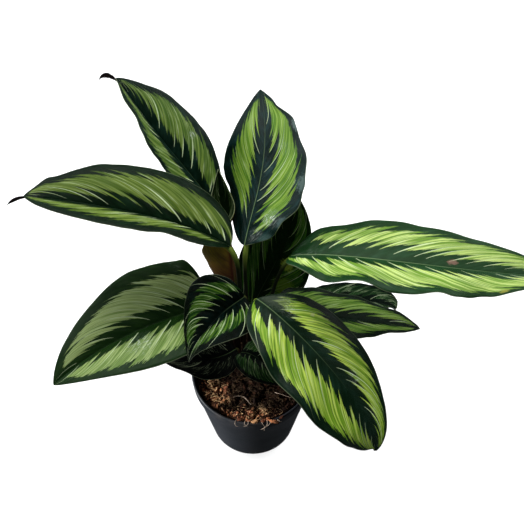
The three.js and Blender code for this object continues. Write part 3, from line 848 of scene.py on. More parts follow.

# %% [markdown]
# ## Thirteen leaves
#
# The leaves share the recipe and differ in their numbers: older leaves are dull olive, and the young ones
# near the crown are vivid. Their numbers also hold painted light and shade: the leaves in the shade of
# others are painted nearly black with pale pinstripes, and some carry painted sheen and lit patches.

# %% Looks of the leaves
# The darkest palettes are painted shade, for leaves that lie in the shade of others.
LOOKS = {
    "leaf_back_left": dict(
        light=(126, 152, 68), green=(78, 110, 38), dark=(3, 26, 14), dark_lit=(24, 54, 42),
        teeth=13, inner=(0.3, 0.12), outer=(0.92, 0.86), tip=0.02, taper=0.2,
        bloom=[(0.4, 0.65, 0.13, 0.5), (0.28, 0.38, 0.08, 0.4)],
    ),
    "leaf_left": dict(
        light=(128, 150, 66), green=(82, 108, 34),
        teeth=12, inner=(0.26, 0.08), outer=(0.82, 0.84), tip=0.02, start=(0.0, -0.05),
        bloom=[(0.95, 0.1, 0.2, 0.4), (0.43, -0.4, 0.2, 0.25)],
    ),
    "leaf_back": dict(
        light=(152, 188, 68), green=(88, 134, 32), dark=(2, 27, 22), dark_lit=(28, 64, 64),
        teeth=11, inner=(0.12, 0.06), outer=(0.84, 0.86), start=(0.05, 0.02), midrib=1.1,
        bloom=[(0.28, 0.65, 0.36, 0.9), (0.1, 0.45, 0.4, 1.0), (0.7, 0.45, 0.25, 0.2)],
        # The grey-blue patches along the right margin are painted sheen.
        blemish=[(0.52, 1.0, 0.22, (100, 124, 118)), (0.8, 1.0, 0.16, (104, 126, 122)),
                 (0.3, 1.0, 0.2, (82, 106, 102)), (0.12, 0.9, 0.3, (58, 86, 80))],
    ),
    "leaf_right_high": dict(
        light=(214, 238, 136), green=(118, 160, 56), dark=(22, 58, 22), dark_lit=(44, 84, 52),
        teeth=17, inner=(0.16, 0.08), outer=(0.85, 0.83), start=(0.05, 0.0), midrib=1.2,
        tip=0.02, taper=-0.04, streaks=0.75,
        bloom=[(0.04, -0.6, 0.3, 0.3), (0.12, 0.0, 0.3, 0.3), (0.05, 0.0, 0.14, 0.8)],
        blemish=[(0.639, -0.15, 0.09, (150, 112, 98)), (0.805, 0.87, 0.08, (170, 170, 70))],
    ),
    "leaf_left_low": dict(
        light=(172, 194, 122), green=(118, 148, 74), dark=(18, 46, 10), dark_lit=(38, 68, 22),
        teeth=11, inner=(0.1, 0.1), outer=(0.86, 0.79), start=(0.0, -0.12), tip=0.06, fade=0.1,
        shade=(-0.4, 0.5), bloom=[(0.6, -0.4, 0.4, 0.4), (0.3, 0.9, 0.2, 0.3)],
    ),
    "leaf_front_left": dict(
        light=(84, 122, 34), green=(20, 56, 10), dark=(1, 8, 3), dark_lit=(7, 25, 23),
        teeth=11, inner=(0.16, 0.16), outer=(0.78, 0.78), tip=0.08,
        streaks=0.9, streak_width=0.12, streak_reach=0.9, specular=0.05,
    ),
    "leaf_front_right": dict(
        light=(212, 240, 100), green=(122, 168, 40), dark=(5, 30, 10), dark_lit=(26, 56, 42),
        teeth=14, inner=(0.13, 0.1), outer=(0.86, 0.84), start=(0.03, 0.0), midrib=0.7, tip=0.02,
        taper=0.04, streaks=0.85, streak_width=0.14, streak_reach=0.75,
        bloom=[(0.1, -0.55, 0.5, 0.5), (0.2, -0.3, 0.3, 0.4), (0.62, -0.35, 0.2, 0.5), (0.8, -0.4, 0.2, 0.3)],
        # The second patch, large and grey near the stalk, is painted sheen.
        blemish=[(0.306, -0.65, 0.06, (206, 216, 150)), (0.1, -0.45, 0.5, (78, 90, 74))],
    ),
    "leaf_right": dict(
        light=(166, 204, 88), green=(98, 144, 48), dark=(8, 28, 10), dark_lit=(36, 58, 42),
        teeth=12, inner=(0.12, 0.08), outer=(0.86, 0.8), streaks=0.5, specular=0.1,
    ),
    "leaf_right_low": dict(
        light=(26, 60, 24), green=(8, 30, 10), dark=(1, 11, 4), dark_lit=(6, 24, 15), teeth=9,
        streaks=0.85, streak_width=0.06, streak_reach=1.5, streak_tone=0.75, specular=0.04,
        # The grey patch at the tip is a painted highlight.
        blemish=[(0.99, 0.3, 0.34, (96, 106, 100))],
    ),
    "leaf_back_right": dict(
        light=(92, 142, 42), green=(42, 92, 22), dark=(14, 44, 9), dark_lit=(28, 64, 18),
        teeth=8, inner=(0.2, 0.08), start=(-1, -1), spike=0.3, specular=0.06,
        streaks=0.9, streak_width=0.06, streak_reach=1.8, streak_tone=0.7,
        # Both yellow-green patches are painted light on this shaded leaf.
        blemish=[(0.24, 0.5, 0.4, (124, 164, 40)), (0.42, 0.33, 0.24, (190, 214, 72))],
    ),
    "leaf_young": dict(
        light=(44, 70, 24), green=(26, 48, 14), dark=(8, 24, 6), dark_lit=(18, 40, 12), teeth=7,
        streaks=0.8, streak_width=0.08, streak_reach=0.9, streak_tone=0.15, specular=0.08,
    ),
    "leaf_small_front": dict(
        light=(52, 98, 34), green=(14, 46, 14), dark=(2, 14, 6), dark_lit=(10, 30, 18), teeth=9,
        streaks=0.6, streak_width=0.12, streak_tone=0.5, gloss=0.25, specular=0.1,
    ),
    "leaf_small_left": dict(
        light=(10, 20, 10), green=(3, 9, 5), dark=(1, 4, 2), dark_lit=(4, 9, 7), teeth=7,
        streaks=0.85, streak_width=0.06, streak_reach=0.9, streak_tone=0.4, specular=0.05,
    ),
}
print("looks:", len(LOOKS))

# %% Painted blades
FIRST_SEED = 0.5
SEED_STEP = 3.7

young_under = underside_paint("leaf_young_under", paint(88, 38, 24), paint(168, 152, 38), 0.1, 1.4, 0.1, 0.5)
for i, (name, leaf) in enumerate(LEAVES.items()):
    look = SimpleNamespace(**{**COMMON_LOOK, **LOOKS[name]})
    upper = leaf_paint(name + "_paint", SEED_STEP * i + FIRST_SEED, look)
    under = young_under if name == "leaf_young" else leaf_under
    shape = blade_shape(leaf, BLADE_ROWS, BLADE_HALF_COLUMNS)
    blade = finished_piece(shape, name + "_blade", (upper, under, leaf_edge), leaf_slot(name), name)
    thicken(blade, BLADE_THICKNESS, 1, 2)
print("blades:", len(LOOKS), "with", len(upper.node_tree.nodes), "nodes in the last one's paint")

# %% [markdown]
# ## Round things that follow a line
#
# Stalks, roots and the fibres in the soil are all thin tubes along a line. A grid is rolled up round
# the line, its seam is merged and its two ends are filled. The ring's direction is carried from one
# point to the next, so the tube doesn't twist.

# %% Tubes
TUBE_SIDEWAYS = Vector((1, 0.1, 0.05))
SEAM = 1e-7


def add_tube(shape, points, radii, sides, tone=0.5):
    """Adds a closed tube through the points, in metres. tone is kept for the material."""
    tube_map = shape.loops.layers.uv["tube"]
    tones = shape.verts.layers.float["tone"]
    last = len(points) - 1
    rings = []
    across = TUBE_SIDEWAYS
    for i, point in enumerate(points):
        along = (points[min(i + 1, last)] - points[max(i - 1, 0)]).normalized()
        across = (across - along * across.dot(along)).normalized()
        rings.append((point, across, along.cross(across), radii[i]))
    verts = bmesh.ops.create_grid(shape, x_segments=sides, y_segments=last, size=1.0)["verts"]
    places = {}
    for vert in verts:
        turn = (vert.co.x + 1) / 2
        row = round((vert.co.y + 1) / 2 * last)
        places[vert] = (row / last, turn)
        point, first, second, radius = rings[row]
        angle = 2 * math.pi * turn
        vert.co = point + (first * math.cos(angle) + second * math.sin(angle)) * radius
        vert[tones] = tone
    for face in {face for vert in verts for face in vert.link_faces}:
        face.smooth = True
        for loop in face.loops:
            loop[tube_map].uv = places[loop.vert]
    bmesh.ops.remove_doubles(shape, verts=verts, dist=SEAM)
    rim = {edge for vert in verts if vert.is_valid for edge in vert.link_edges if edge.is_boundary}
    bmesh.ops.holes_fill(shape, edges=list(rim), sides=0)


def tube_shape():
    """An empty shape with the layers that a tube fills."""
    shape = bmesh.new()
    shape.loops.layers.uv.new("tube")
    shape.verts.layers.float.new("tone")
    return shape


empty = tube_shape()
print("tube layers:", empty.loops.layers.uv.keys(), empty.verts.layers.float.keys())
empty.free()

# %% [markdown]
# ## The stalks
#
# A leaf stalk comes straight up out of the crown, sheathed and a little thicker at its foot, bends
# under the blade's weight, and thickens again in the pale joint that turns the leaf to the light.
# It goes on as the ridge under the midrib and tapers out towards the tip. The stalk follows the
# solid's own curve, and only the sheath, the joint and the colour are finer.

# %% Stalk lines
STALK_FOOT = 86
STALK_FREE = 99
STALK_STEPS = 40
JOINT_SWELL = 0.35
JOINT_HALF = 8
SHEATH_LENGTH = 22
SHEATH_SWELL = 0.5
RIDGE_STEPS = 60
RIDGE_START = 0.012
RIDGE_END = 0.93
RIDGE_TIP_RADIUS = 0.4
LOOK_ALONG = 0.004
LOOK_ASIDE = 0.05


def underside_of(leaf, t, depth):
    """A point under the midrib, in metres."""
    forward = blade_point(leaf, t + LOOK_ALONG, 0) - blade_point(leaf, t - LOOK_ALONG, 0)
    sideways = blade_point(leaf, t, LOOK_ASIDE) - blade_point(leaf, t, -LOOK_ASIDE)
    return blade_point(leaf, t, 0) - sideways.cross(forward).normalized() * depth * MM


def stalk_line(leaf):
    """The points and radii of the stalk and the ridge, in metres."""
    x, y = leaf["root"]
    thick = leaf["stalk"]
    free = Vector((x, y, STALK_FREE))
    joint = underside_of(leaf, RIDGE_START, thick) / MM
    away = bezier(leaf["rib"], 0)[1]
    reach = (joint - free).length
    start = Vector((*leaf["lean"], 1)).normalized()
    curve = (free, free + start * reach * leaf["rise"], joint - away * leaf["neck"], joint)
    points = [Vector((x, y, STALK_FOOT)) * MM]
    radii = [thick * (1 + SHEATH_SWELL)]
    for i in range(STALK_STEPS):
        point = bezier(curve, i / STALK_STEPS)[0]
        joint_swell = JOINT_SWELL * math.exp(-((((joint - point).length - JOINT_HALF) / JOINT_HALF) ** 2))
        sheath = SHEATH_SWELL * math.exp(-(((point - free).length / SHEATH_LENGTH) ** 2))
        points.append(point * MM)
        radii.append(thick * (1 + joint_swell + sheath))
    for i in range(RIDGE_STEPS):
        share = i / RIDGE_STEPS
        radius = thick + (RIDGE_TIP_RADIUS - thick) * share
        points.append(underside_of(leaf, RIDGE_START + (RIDGE_END - RIDGE_START) * share, radius))
        radii.append(radius)
    return points, [radius * MM for radius in radii]


print("a stalk has", 1 + STALK_STEPS, "points and its ridge", RIDGE_STEPS)

# %% Painted stalks
STALK_SIDES = 12
RIDGE_BROWN = paint(118, 84, 52)
BROWN_STALKS = ("leaf_small_front", "leaf_small_left", "leaf_right_low", "leaf_young", "leaf_front_left")


def stalk_paint(name, foot, middle, joint):
    """Three colours up the stalk and brown along the ridge, with fine grooves."""
    material, tree, shader = new_material(name, 0.5, 0.12)
    along, turn = term_uv(tree, "tube")
    groove = term_noise(turn, along, 26, 6.0)
    skin = blended((along + groove * 0.06).ramp(0.02, 0.2), foot, middle)
    skin = blended((along + groove * 0.04).ramp(0.3, 0.4), skin, joint)
    skin = blended(along.ramp(0.46, 0.6), skin, RIDGE_BROWN)
    colour_surface(shader, blended(groove.ramp(0.3, 0.75) * 0.35, skin, foot))
    raise_surface(shader, groove, 0.0003)
    return material


# The green stalks' dark middle is partly their own colour and partly painted shade of the crown.
green_stalk = stalk_paint("green_stalk", paint(40, 22, 16), paint(24, 36, 16), paint(122, 146, 56))
brown_stalk = stalk_paint("brown_stalk", paint(30, 17, 12), paint(50, 32, 20), paint(70, 78, 34))
for name, leaf in LEAVES.items():
    shape = tube_shape()
    add_tube(shape, *stalk_line(leaf), STALK_SIDES)
    coat = brown_stalk if name in BROWN_STALKS else green_stalk
    finished_piece(shape, name + "_stalk", (coat,), leaf_slot(name), name)
print("stalks:", len(LEAVES))

# %% [markdown]
# ## Two withered tips
#
# In dry air the very end of a leaf dies back and curls. Two leaves have such a tip: a narrow brown
# strip that twists as it dries. It is a small blade of its own, made by the same recipe, which starts
# inside the green one.

# %% Dry tips
DRY_START = 0.955
DRY_WIDTH = 2.7
DRY_THICKNESS = 0.7
DRY_ROWS = 40
DRY_HALF_COLUMNS = 4


def dry_tip_record(leaf):
    """A narrow blade whose midrib goes on where the leaf's midrib ends."""
    route = (bezier(leaf["rib"], DRY_START)[0], leaf["rib"][3], *leaf["dry_tip"])
    return dict(rib=route, width=leaf.get("dry_width", DRY_WIDTH), ends=(2.2, 1.5), roll=(0, 20),
                fold=(14, 14), edge=(4, 4), sweep=(0.3, 0.3))


dry_paint, dry_tree, dry_shader = new_material("dry_leaf", 0.8, 0.03)
crinkle = term_noise(*term_uv(dry_tree, "blade"), 14, 5.0, 4.0)
colour_surface(dry_shader, blended(crinkle.ramp(0.3, 0.7), paint(5, 4, 4), paint(18, 13, 11)))
raise_surface(dry_shader, crinkle, 0.0008)
for name, leaf in LEAVES.items():
    if "dry_tip" in leaf:
        shape = blade_shape(dry_tip_record(leaf), DRY_ROWS, DRY_HALF_COLUMNS)
        tip = finished_piece(shape, name + "_dry_tip", (dry_paint,), "leaf", name)
        thicken(tip, DRY_THICKNESS)
print("dry tips:", sum("dry_tip" in leaf for leaf in LEAVES.values()))

# %% [markdown]
# ## The pot
#
# A nursery pot is blown or moulded from thin dark plastic: a tapered cup, a collar that stiffens the
# mouth, and holes in the floor. Its half section is drawn once and spun round the axis, which gives
# the wall its true thickness at once. The sharp edges are bevelled a little, because moulded plastic
# has none, and the drain holes are cut last with a Boolean.

# %% Section of the pot
POT_HEIGHT = 100
POT_RIM_RADIUS = 60
POT_FOOT_RADIUS = 43
POT_FOOT_BEND = 4
FOOT_ROUND = 0.3
COLLAR_HEIGHT = 13
COLLAR_STEP = 2.2
COLLAR_TAPER = 0.8
SMALL_EDGE = 0.6
EDGE = 0.8
POT_WALL = 2
POT_FLOOR = 3
POT_STEPS = 128
WELD = 1e-6

collar_foot = POT_HEIGHT - COLLAR_HEIGHT
pot_slope = (POT_RIM_RADIUS - COLLAR_STEP - POT_FOOT_RADIUS) / collar_foot


def wall_radius(z):
    """The outside of the cup below its collar."""
    return POT_FOOT_RADIUS + pot_slope * z


def spun(profile, steps):
    """A closed shape of revolution from (radius, height) pairs, in millimetres."""
    shape = bmesh.new()
    verts = [shape.verts.new((radius * MM, 0, z * MM)) for radius, z in profile]
    edges = [shape.edges.new(pair) for pair in zip(verts, verts[1:])]
    bmesh.ops.spin(shape, geom=verts + edges, cent=(0, 0, 0), axis=(0, 0, 1), dvec=(0, 0, 0),
                   angle=2 * math.pi, steps=steps, use_merge=True, use_duplicate=False)
    bmesh.ops.remove_doubles(shape, verts=shape.verts, dist=WELD)
    bmesh.ops.recalc_face_normals(shape, faces=shape.faces)
    return shape


inner_top = wall_radius(collar_foot) - POT_WALL
inner_rim = POT_RIM_RADIUS - POT_WALL
collar_radius = POT_RIM_RADIUS - COLLAR_TAPER
pot_profile = [
    (0, 0), (POT_FOOT_RADIUS - POT_FOOT_BEND, 0),
    (POT_FOOT_RADIUS - POT_FOOT_BEND * FOOT_ROUND, POT_FOOT_BEND * FOOT_ROUND),
    (wall_radius(POT_FOOT_BEND), POT_FOOT_BEND),
    (wall_radius(collar_foot * 0.5), collar_foot * 0.5), (wall_radius(collar_foot), collar_foot),
    (collar_radius - SMALL_EDGE, collar_foot), (collar_radius, collar_foot + EDGE),
    (POT_RIM_RADIUS, POT_HEIGHT - EDGE), (POT_RIM_RADIUS - EDGE, POT_HEIGHT),
    (inner_rim, POT_HEIGHT), (inner_rim - SMALL_EDGE, POT_HEIGHT - SMALL_EDGE),
    (inner_top, collar_foot), (wall_radius(POT_FLOOR) - POT_WALL, POT_FLOOR), (0, POT_FLOOR),
]
print("the wall leans out by", round(pot_slope, 3), "mm for each mm of height")

# %% Cup and drain holes
POT_BEVEL = 0.3
SHARP_ANGLE = 0.3
DRAINS = 8
DRAIN_RADIUS = 4
DRAIN_CIRCLE = 31
DRAIN_SIDES = 24
CUTTER_DEPTH = 12


def smooth(shape):
    for face in shape.faces:
        face.smooth = True


pot_shape = spun(pot_profile, POT_STEPS)
sharp = [edge for edge in pot_shape.edges if edge.is_manifold and edge.calc_face_angle() > SHARP_ANGLE]
bmesh.ops.bevel(pot_shape, geom=sharp, offset=POT_BEVEL * MM, offset_type="OFFSET", segments=2,
                profile=0.5, affect="EDGES", material=-1)
smooth(pot_shape)

cutter_shape = bmesh.new()
for i in range(DRAINS):
    angle = 2 * math.pi * (i + 0.5) / DRAINS
    made = bmesh.ops.create_cone(cutter_shape, cap_ends=True, segments=DRAIN_SIDES,
                                 radius1=DRAIN_RADIUS * MM, radius2=DRAIN_RADIUS * MM,
                                 depth=CUTTER_DEPTH * MM)
    centre = Vector((math.cos(angle), math.sin(angle), 0)) * DRAIN_CIRCLE * MM
    bmesh.ops.translate(cutter_shape, verts=made["verts"], vec=centre)
cutter = placed("drain_cutter", mesh_from(cutter_shape, "drain_cutter"))
print("cutters:", DRAINS, "sharp edges:", len(sharp))

# %% [markdown]
# The plastic is nearly black, with a fine mould grain, a few pale rubs and a breath of dust from the
# soil on the collar. The dust follows the height of the piece, so it reads Object coordinates, which
# lie still on the pot. Then the drain holes are cut.

# %% Pot plastic


def place_on(tree):
    """The socket with the place on the piece itself, in metres, and its three numbers."""
    source = tree.nodes.new("ShaderNodeTexCoord")
    split = tree.nodes.new("ShaderNodeSeparateXYZ")
    tree.links.new(source.outputs["Object"], split.inputs[0])
    return source.outputs["Object"], [Term(tree, socket) for socket in split.outputs]


def term_texture(tree, scale, detail=3.0):
    """Smooth noise in space, with scale in grains per metre."""
    texture = tree.nodes.new("ShaderNodeTexNoise")
    texture.inputs["Scale"].default_value = scale
    texture.inputs["Detail"].default_value = detail
    tree.links.new(place_on(tree)[0], texture.inputs["Vector"])
    return Term(tree, texture.outputs["Fac"])


pot_plastic, pot_tree, pot_shader = new_material("pot_plastic", 0.48, 0.1)
pot_height = place_on(pot_tree)[1][2]
cloud = term_texture(pot_tree, 45)
speck = term_texture(pot_tree, 900, 2.0)
plastic = blended(cloud.ramp(0.3, 0.7), paint(23, 26, 30), paint(30, 32, 36))
rim_dust = pot_height.ramp(0.086, 0.101) * cloud.ramp(0.4, 0.75) * 0.25
plastic = blended(rim_dust, plastic, paint(70, 62, 54))
plastic = blended(speck.ramp(0.66, 0.76) * 0.25, plastic, paint(110, 108, 104))
colour_surface(pot_shader, plastic)
pot_tree.links.new((cloud * 0.2 + speck * 0.1 + 0.34).socket, pot_shader.inputs["Roughness"])
raise_surface(pot_shader, speck + cloud * 0.5, 0.0002, 0.5)

pot = finished_piece(pot_shape, "pot_cup", (pot_plastic,), "pot_plastic", "pot")
cut = pot.modifiers.new("drains", "BOOLEAN")
cut.object = cutter
cut.operation = "DIFFERENCE"
bpy.context.view_layer.update()
graph = bpy.context.evaluated_depsgraph_get()
pot.data = bpy.data.meshes.new_from_object(pot.evaluated_get(graph))
pot.modifiers.clear()
bpy.data.objects.remove(cutter)
print("pot faces:", len(pot.data.polygons))

# %% [markdown]
# ## The growing mix
#
# The mix is peat with shredded bark and coir. Three layers make it: a plug with a lumpy top that
# fills the pot, about a thousand chips and crumbs pressed into it, and fibres that lie over them. Each
# chip is a small ball that is flattened, stretched and dented, with a tone of its own, so that no two
# look alike. It heaps towards the front, where some of it has spilled onto the rim.

# %% Plug of soil
SOIL_LEVEL = 93
SOIL_RISE = 5
SOIL_GAP = 0.3
SOIL_RINGS = 44
SOIL_STEPS = 120
LUMP_HEIGHT = 2.4
LUMP_SCALE = 0.09
GRAIN_HEIGHT = 0.7
GRAIN_SCALE = 0.6


def soil_height(x, y):
    """The height of the lumpy top, in millimetres."""
    front = max(0, -y / POT_RIM_RADIUS)
    lumps = noise.fractal(Vector((x * LUMP_SCALE, y * LUMP_SCALE, 3)), 1.0, 2.0, 5)
    grain = noise.noise(Vector((x * GRAIN_SCALE, y * GRAIN_SCALE, 8)))
    return SOIL_LEVEL + SOIL_RISE * front + LUMP_HEIGHT * lumps + GRAIN_HEIGHT * grain


soil_wall = wall_radius(collar_foot) - POT_WALL - SOIL_GAP
soil_foot = wall_radius(POT_FLOOR) - POT_WALL - SOIL_GAP
soil_profile = [(0, POT_FLOOR), (soil_foot, POT_FLOOR), (soil_wall, collar_foot)]
soil_profile += [(soil_wall * i / SOIL_RINGS, SOIL_LEVEL) for i in range(SOIL_RINGS, -1, -1)]
soil_shape = spun(soil_profile, SOIL_STEPS)
smooth(soil_shape)
for vert in soil_shape.verts:
    if vert.co.z > (SOIL_LEVEL - 1) * MM:
        vert.co.z = soil_height(vert.co.x / MM, vert.co.y / MM) * MM
print("soil top about", round(soil_height(0, -40), 1), "mm up")

# %% Soil paint
# Painted shade: the mix is darkened everywhere but near a lit spot on the left and along the lit front.
LIT_LEFT = (-0.043, -0.024)
LIT_FRONT = -0.053
SHADE_BROWN = paint(9, 4, 2)


def painted_shade(tree, skin):
    """Painted shade: darkens the mix away from the lit left side and front, where the leaves shade it."""
    x, y = place_on(tree)[1][:2]
    blot = (term_texture(tree, 90, 2.0) - 0.5) * 0.03
    from_left = ((x - LIT_LEFT[0]).math("POWER", 2.0) + (y - LIT_LEFT[1]).math("POWER", 2.0)).math("SQRT")
    from_front = (y - LIT_FRONT).size() + x.ramp(0.012, 0.034) * 0.01 + 0.009
    away = from_left.math("MINIMUM", from_front) + blot
    return blended(away.ramp(0.01, 0.026) * 0.94, skin, SHADE_BROWN)


soil_paint, soil_tree, soil_shader = new_material("soil_bed", 0.9, 0.04)
clod = term_texture(soil_tree, 240, 6.0)
crumb = term_texture(soil_tree, 900, 4.0)
soil_skin = blended(clod.ramp(0.35, 0.65), paint(14, 8, 6), paint(78, 50, 34))
soil_skin = blended(crumb.ramp(0.55, 0.75) * 0.6, soil_skin, paint(150, 112, 78))
# Painted shade where the leaves shade the mix.
colour_surface(soil_shader, painted_shade(soil_tree, soil_skin))
raise_surface(soil_shader, clod + crumb * 0.7, 0.0015)
finished_piece(soil_shape, "soil_plug", (soil_paint,), "soil", "soil")
print("damp soil:", [round(x, 4) for x in SHADE_BROWN])

# %% Chips and crumbs
CHIP_DENT = 0.75
CHIP_LUMPS = 1.3
CHIP_TILT = 0.7
KEPT_IN_MIDDLE = 0.65
KEPT_MORE_IN_FRONT = 0.35
CHIP_KINDS = {
    "chips": dict(count=190, margin=3, length=(1.6, 4.6), lift=(-0.3, 1.0), width=(0.3, 0.6),
                  height=(0.12, 0.3), detail=2),
    "crumbs": dict(count=900, margin=1, length=(0.5, 1.5), lift=(0, 0.8), width=(0.5, 0.9),
                   height=(0.3, 0.7), detail=1),
}


def place_on_soil(dice, margin):
    """A chance place on the top, in millimetres, more often towards the front."""
    while True:
        x = dice.uniform(-1, 1) * soil_wall
        y = dice.uniform(-1, 1) * soil_wall
        inside = math.hypot(x, y) < soil_wall - margin
        if inside and dice.random() < KEPT_IN_MIDDLE - KEPT_MORE_IN_FRONT * y / soil_wall:
            return x, y


def add_dented_ball(shape, centre, axes, sizes, detail, dent, lumps, shift, tone):
    """A ball with smooth dents, stretched along three axes: a place in metres, sizes in millimetres."""
    tones = shape.verts.layers.float["tone"]
    for vert in bmesh.ops.create_icosphere(shape, subdivisions=detail, radius=1.0)["verts"]:
        local = vert.co * (1 + dent * noise.noise(vert.co * lumps + shift))
        stretched = [axis * local[k] * sizes[k] for k, axis in enumerate(axes)]
        vert.co = centre + sum(stretched, Vector()) * MM
        vert[tones] = tone


def add_chip(shape, dice, centre, sizes, detail):
    """A flattened, dented ball that lies in a chance direction, with its own tone."""
    tone = dice.random()
    turn = dice.uniform(0, 2 * math.pi)
    tilt = dice.uniform(-CHIP_TILT, CHIP_TILT)
    shift = Vector((dice.uniform(0, 90), dice.uniform(0, 90), 0))
    ahead = Vector((math.cos(turn) * math.cos(tilt), math.sin(turn) * math.cos(tilt), math.sin(tilt)))
    aside = Vector((-math.sin(turn), math.cos(turn), dice.uniform(-0.5, 0.5))).normalized()
    axes = (ahead, aside, ahead.cross(aside))
    add_dented_ball(shape, centre, axes, sizes, detail, CHIP_DENT, CHIP_LUMPS, shift, tone)


dice = random.Random(4)
chip_shape = tube_shape()
for kind in CHIP_KINDS.values():
    for i in range(kind["count"]):
        x, y = place_on_soil(dice, kind["margin"])
        length = dice.uniform(*kind["length"])
        centre = Vector((x, y, soil_height(x, y) + dice.uniform(*kind["lift"]))) * MM
        width = length * dice.uniform(*kind["width"])
        height = length * dice.uniform(*kind["height"])
        add_chip(chip_shape, dice, centre, (length, width, height), kind["detail"])
print("chip faces:", len(chip_shape.faces))

# %% [markdown]
# The front of the real pot shows a few pieces that anyone would recognise: two pale chips that lie
# on the lip, and dark shreds beside them. They are placed one by one, resting on the lip.

# %% Chips on the lip
LIP_DENT = 0.45
LIP_LUMPS = 1.6
LIP_DETAIL = 3
LIP_CHIPS = (
    ((21, -57.5, 101), (4.8, 1.8, 0.5), 0.8, -0.35),
    ((3, -57.5, 101), (3.4, 1.9, 0.7), 0.93, 0.3),
    ((11, -56.5, 100.6), (3.0, 1.6, 0.6), 0.45, 0.6),
    ((-4, -56, 100.2), (2.6, 1.3, 0.5), 0.6, -0.3),
    ((-12, -55, 99.8), (2.4, 1.2, 0.5), 0.35, 0.3),
    ((28, -52.5, 100), (2.6, 1.2, 0.5), 0.3, 0.7),
    ((15, -54.5, 100.4), (2.4, 1.5, 0.7), 0.62, 1.2),
)

for place, sizes, tone, turn in LIP_CHIPS:
    centre = Vector(place)
    axes = (Vector((math.cos(turn), math.sin(turn), 0)), Vector((-math.sin(turn), math.cos(turn), 0)), UP)
    add_dented_ball(chip_shape, centre * MM, axes, sizes, LIP_DETAIL, LIP_DENT, LIP_LUMPS, centre, tone)
bmesh.ops.recalc_face_normals(chip_shape, faces=chip_shape.faces)
print("chips on the lip:", len(LIP_CHIPS))

# %% Bark
bark_paint, bark_tree, bark_shader = new_material("bark_chips", 0.85, 0.06)
bark_tone = term_attribute(bark_tree, "tone")
wood = term_texture(bark_tree, 700, 5.0)
bark_skin = blended(bark_tone.ramp(0.0, 0.45), paint(38, 20, 16), paint(98, 58, 40))
bark_skin = blended(bark_tone.ramp(0.45, 0.75), bark_skin, paint(148, 94, 62))
bark_skin = blended(bark_tone.ramp(0.78, 1.0), bark_skin, paint(196, 150, 106))
bark_skin = blended(wood.ramp(0.45, 0.75) * 0.6, bark_skin, paint(40, 22, 15))
# Painted shade where the leaves shade the chips.
colour_surface(bark_shader, painted_shade(bark_tree, bark_skin))
raise_surface(bark_shader, wood, 0.001)
finished_piece(chip_shape, "bark_chips", (bark_paint,), "soil")
print("bark material:", bark_paint.name)

# %% [markdown]
# ## Fibres and roots
#
# Coir breaks into curled golden fibres, and a few pale roots of the plant itself have come up through
# the mix and hang over the lip. Each is a thin tube along a wandering line that keeps close to the
# ground.

# %% Fibres
FIBRES = 800
FIBRE_STEPS = 9
FIBRE_SIDES = 5
FIBRE_LENGTHS = (3, 11)
FIBRE_RADII = (0.1, 0.3)
FIBRE_LIFT = 0.5
WALL_ROOM = 0.5


def fibre_line(dice, length):
    """A line in millimetres that wanders over the top of the soil."""
    x, y = place_on_soil(dice, 4)
    heading = dice.uniform(0, 2 * math.pi)
    curl = dice.uniform(-0.6, 0.6)
    lift = dice.uniform(0.3, 2.4)
    points = []
    for i in range(FIBRE_STEPS + 1):
        arch = lift * math.sin(math.pi * i / FIBRE_STEPS)
        points.append(Vector((x, y, soil_height(x, y) + FIBRE_LIFT + arch)))
        heading += curl + dice.uniform(-0.35, 0.35)
        x += math.cos(heading) * length / FIBRE_STEPS
        y += math.sin(heading) * length / FIBRE_STEPS
        outside = max(1, math.hypot(x, y) / (soil_wall - WALL_ROOM))
        x /= outside
        y /= outside
    return points


fibre_shape = tube_shape()
dice = random.Random(12)
for i in range(FIBRES):
    points = [point * MM for point in fibre_line(dice, dice.uniform(*FIBRE_LENGTHS))]
    thick = dice.uniform(*FIBRE_RADII) * MM
    radii = [thick * (1 - 0.5 * k / FIBRE_STEPS) for k in range(len(points))]
    add_tube(fibre_shape, points, radii, FIBRE_SIDES, dice.random())

fibre_paint, fibre_tree, fibre_shader = new_material("coir_fibres", 0.75, 0.08)
fibre_tone = term_attribute(fibre_tree, "tone")
blotch = term_noise(term_uv(fibre_tree, "tube")[0], fibre_tone, 9, 40)
fibre_skin = blended(fibre_tone, paint(92, 52, 34), paint(236, 198, 146))
fibre_skin = blended(blotch.ramp(0.5, 0.8) * 0.6, fibre_skin, paint(48, 28, 18))
# Painted shade where the leaves shade the fibres.
colour_surface(fibre_shader, painted_shade(fibre_tree, fibre_skin))
finished_piece(fibre_shape, "coir_fibres", (fibre_paint,), "soil")
print("fibres:", FIBRES)

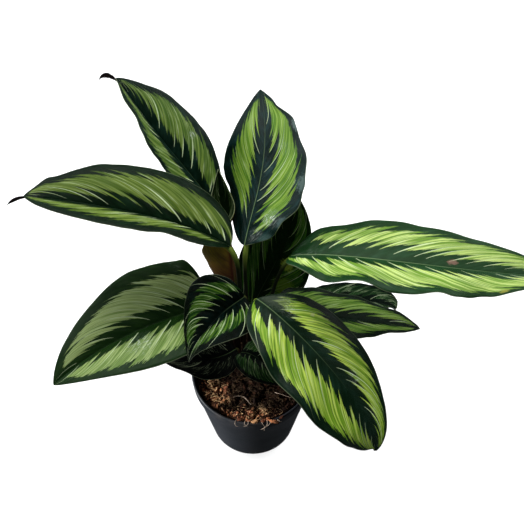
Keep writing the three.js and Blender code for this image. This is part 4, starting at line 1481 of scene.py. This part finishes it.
# %% Roots
ROOT_STEPS = 16
ROOT_SIDES = 8
ROOT_RADIUS = 0.3
ROOT_THINNING = 0.18
ROOTS = (
    ((-9, -29, 97.8), (-6, -32, 99.6), (-3.5, -36, 100), (-1, -38.5, 98.6)),
    ((-18, -30, 98), (-14, -28, 99.3), (-9, -29, 99), (-5, -31, 98.4)),
    ((22, -24, 97), (27, -27, 99.2), (33, -29, 99.4), (38.5, -31, 98)),
    ((8, -55, 100), (10, -60.8, 101.4), (14, -61.6, 96), (11.5, -59.8, 88)),
    ((14, -56, 100.6), (16.4, -61, 101), (11, -61.6, 97), (12.5, -60.2, 91)),
    ((10, -56, 100.4), (8, -61, 101.4), (13, -61.6, 98), (15.5, -60.8, 93.5)),
    ((12.4, -60.9, 96), (11, -61.2, 94), (9.4, -61, 93), (8.6, -60.4, 91)),
    ((17, -56, 100.6), (19, -60.2, 101), (14, -61.4, 99), (12, -60.8, 96)),
    ((-6, -56, 100.4), (-9, -61, 101), (-4, -61.8, 98), (-3, -60.8, 95.5)),
    ((-4, -56, 100.4), (-2, -61.2, 101), (-6, -61.8, 98.6), (-8, -60.6, 98)),
    ((-14, -54, 99.6), (-18, -60, 101.4), (-16, -61, 97), (-12, -60.8, 97.6)),
    ((24, -55, 100.4), (27, -58.6, 101.4), (28.6, -57.4, 99), (27.6, -55.8, 97.8)),
)

root_shape = tube_shape()
shares = [k / ROOT_STEPS for k in range(ROOT_STEPS + 1)]
for route in ROOTS:
    points = [bezier(route, share)[0] * MM for share in shares]
    radii = [(ROOT_RADIUS - ROOT_THINNING * share) * MM for share in shares]
    add_tube(root_shape, points, radii, ROOT_SIDES)
root_paint, root_tree, root_shader = new_material("pale_roots", 0.65, 0.3)
root_grain = term_noise(*term_uv(root_tree, "tube"), 22, 3.0)
colour_surface(root_shader, blended(root_grain.ramp(0.3, 0.7), paint(84, 68, 56), paint(158, 142, 126)))
raise_surface(root_shader, root_grain, 0.0003)
finished_piece(root_shape, "pale_roots", (root_paint,), "soil")
print("roots:", len(ROOTS))

# %% [markdown]
# ## The dressed plant
#
# The finer pieces stand a little proud of the solids in places. The last cell brings the scene up to
# date.

# %% Scene update
bpy.context.view_layer.update()
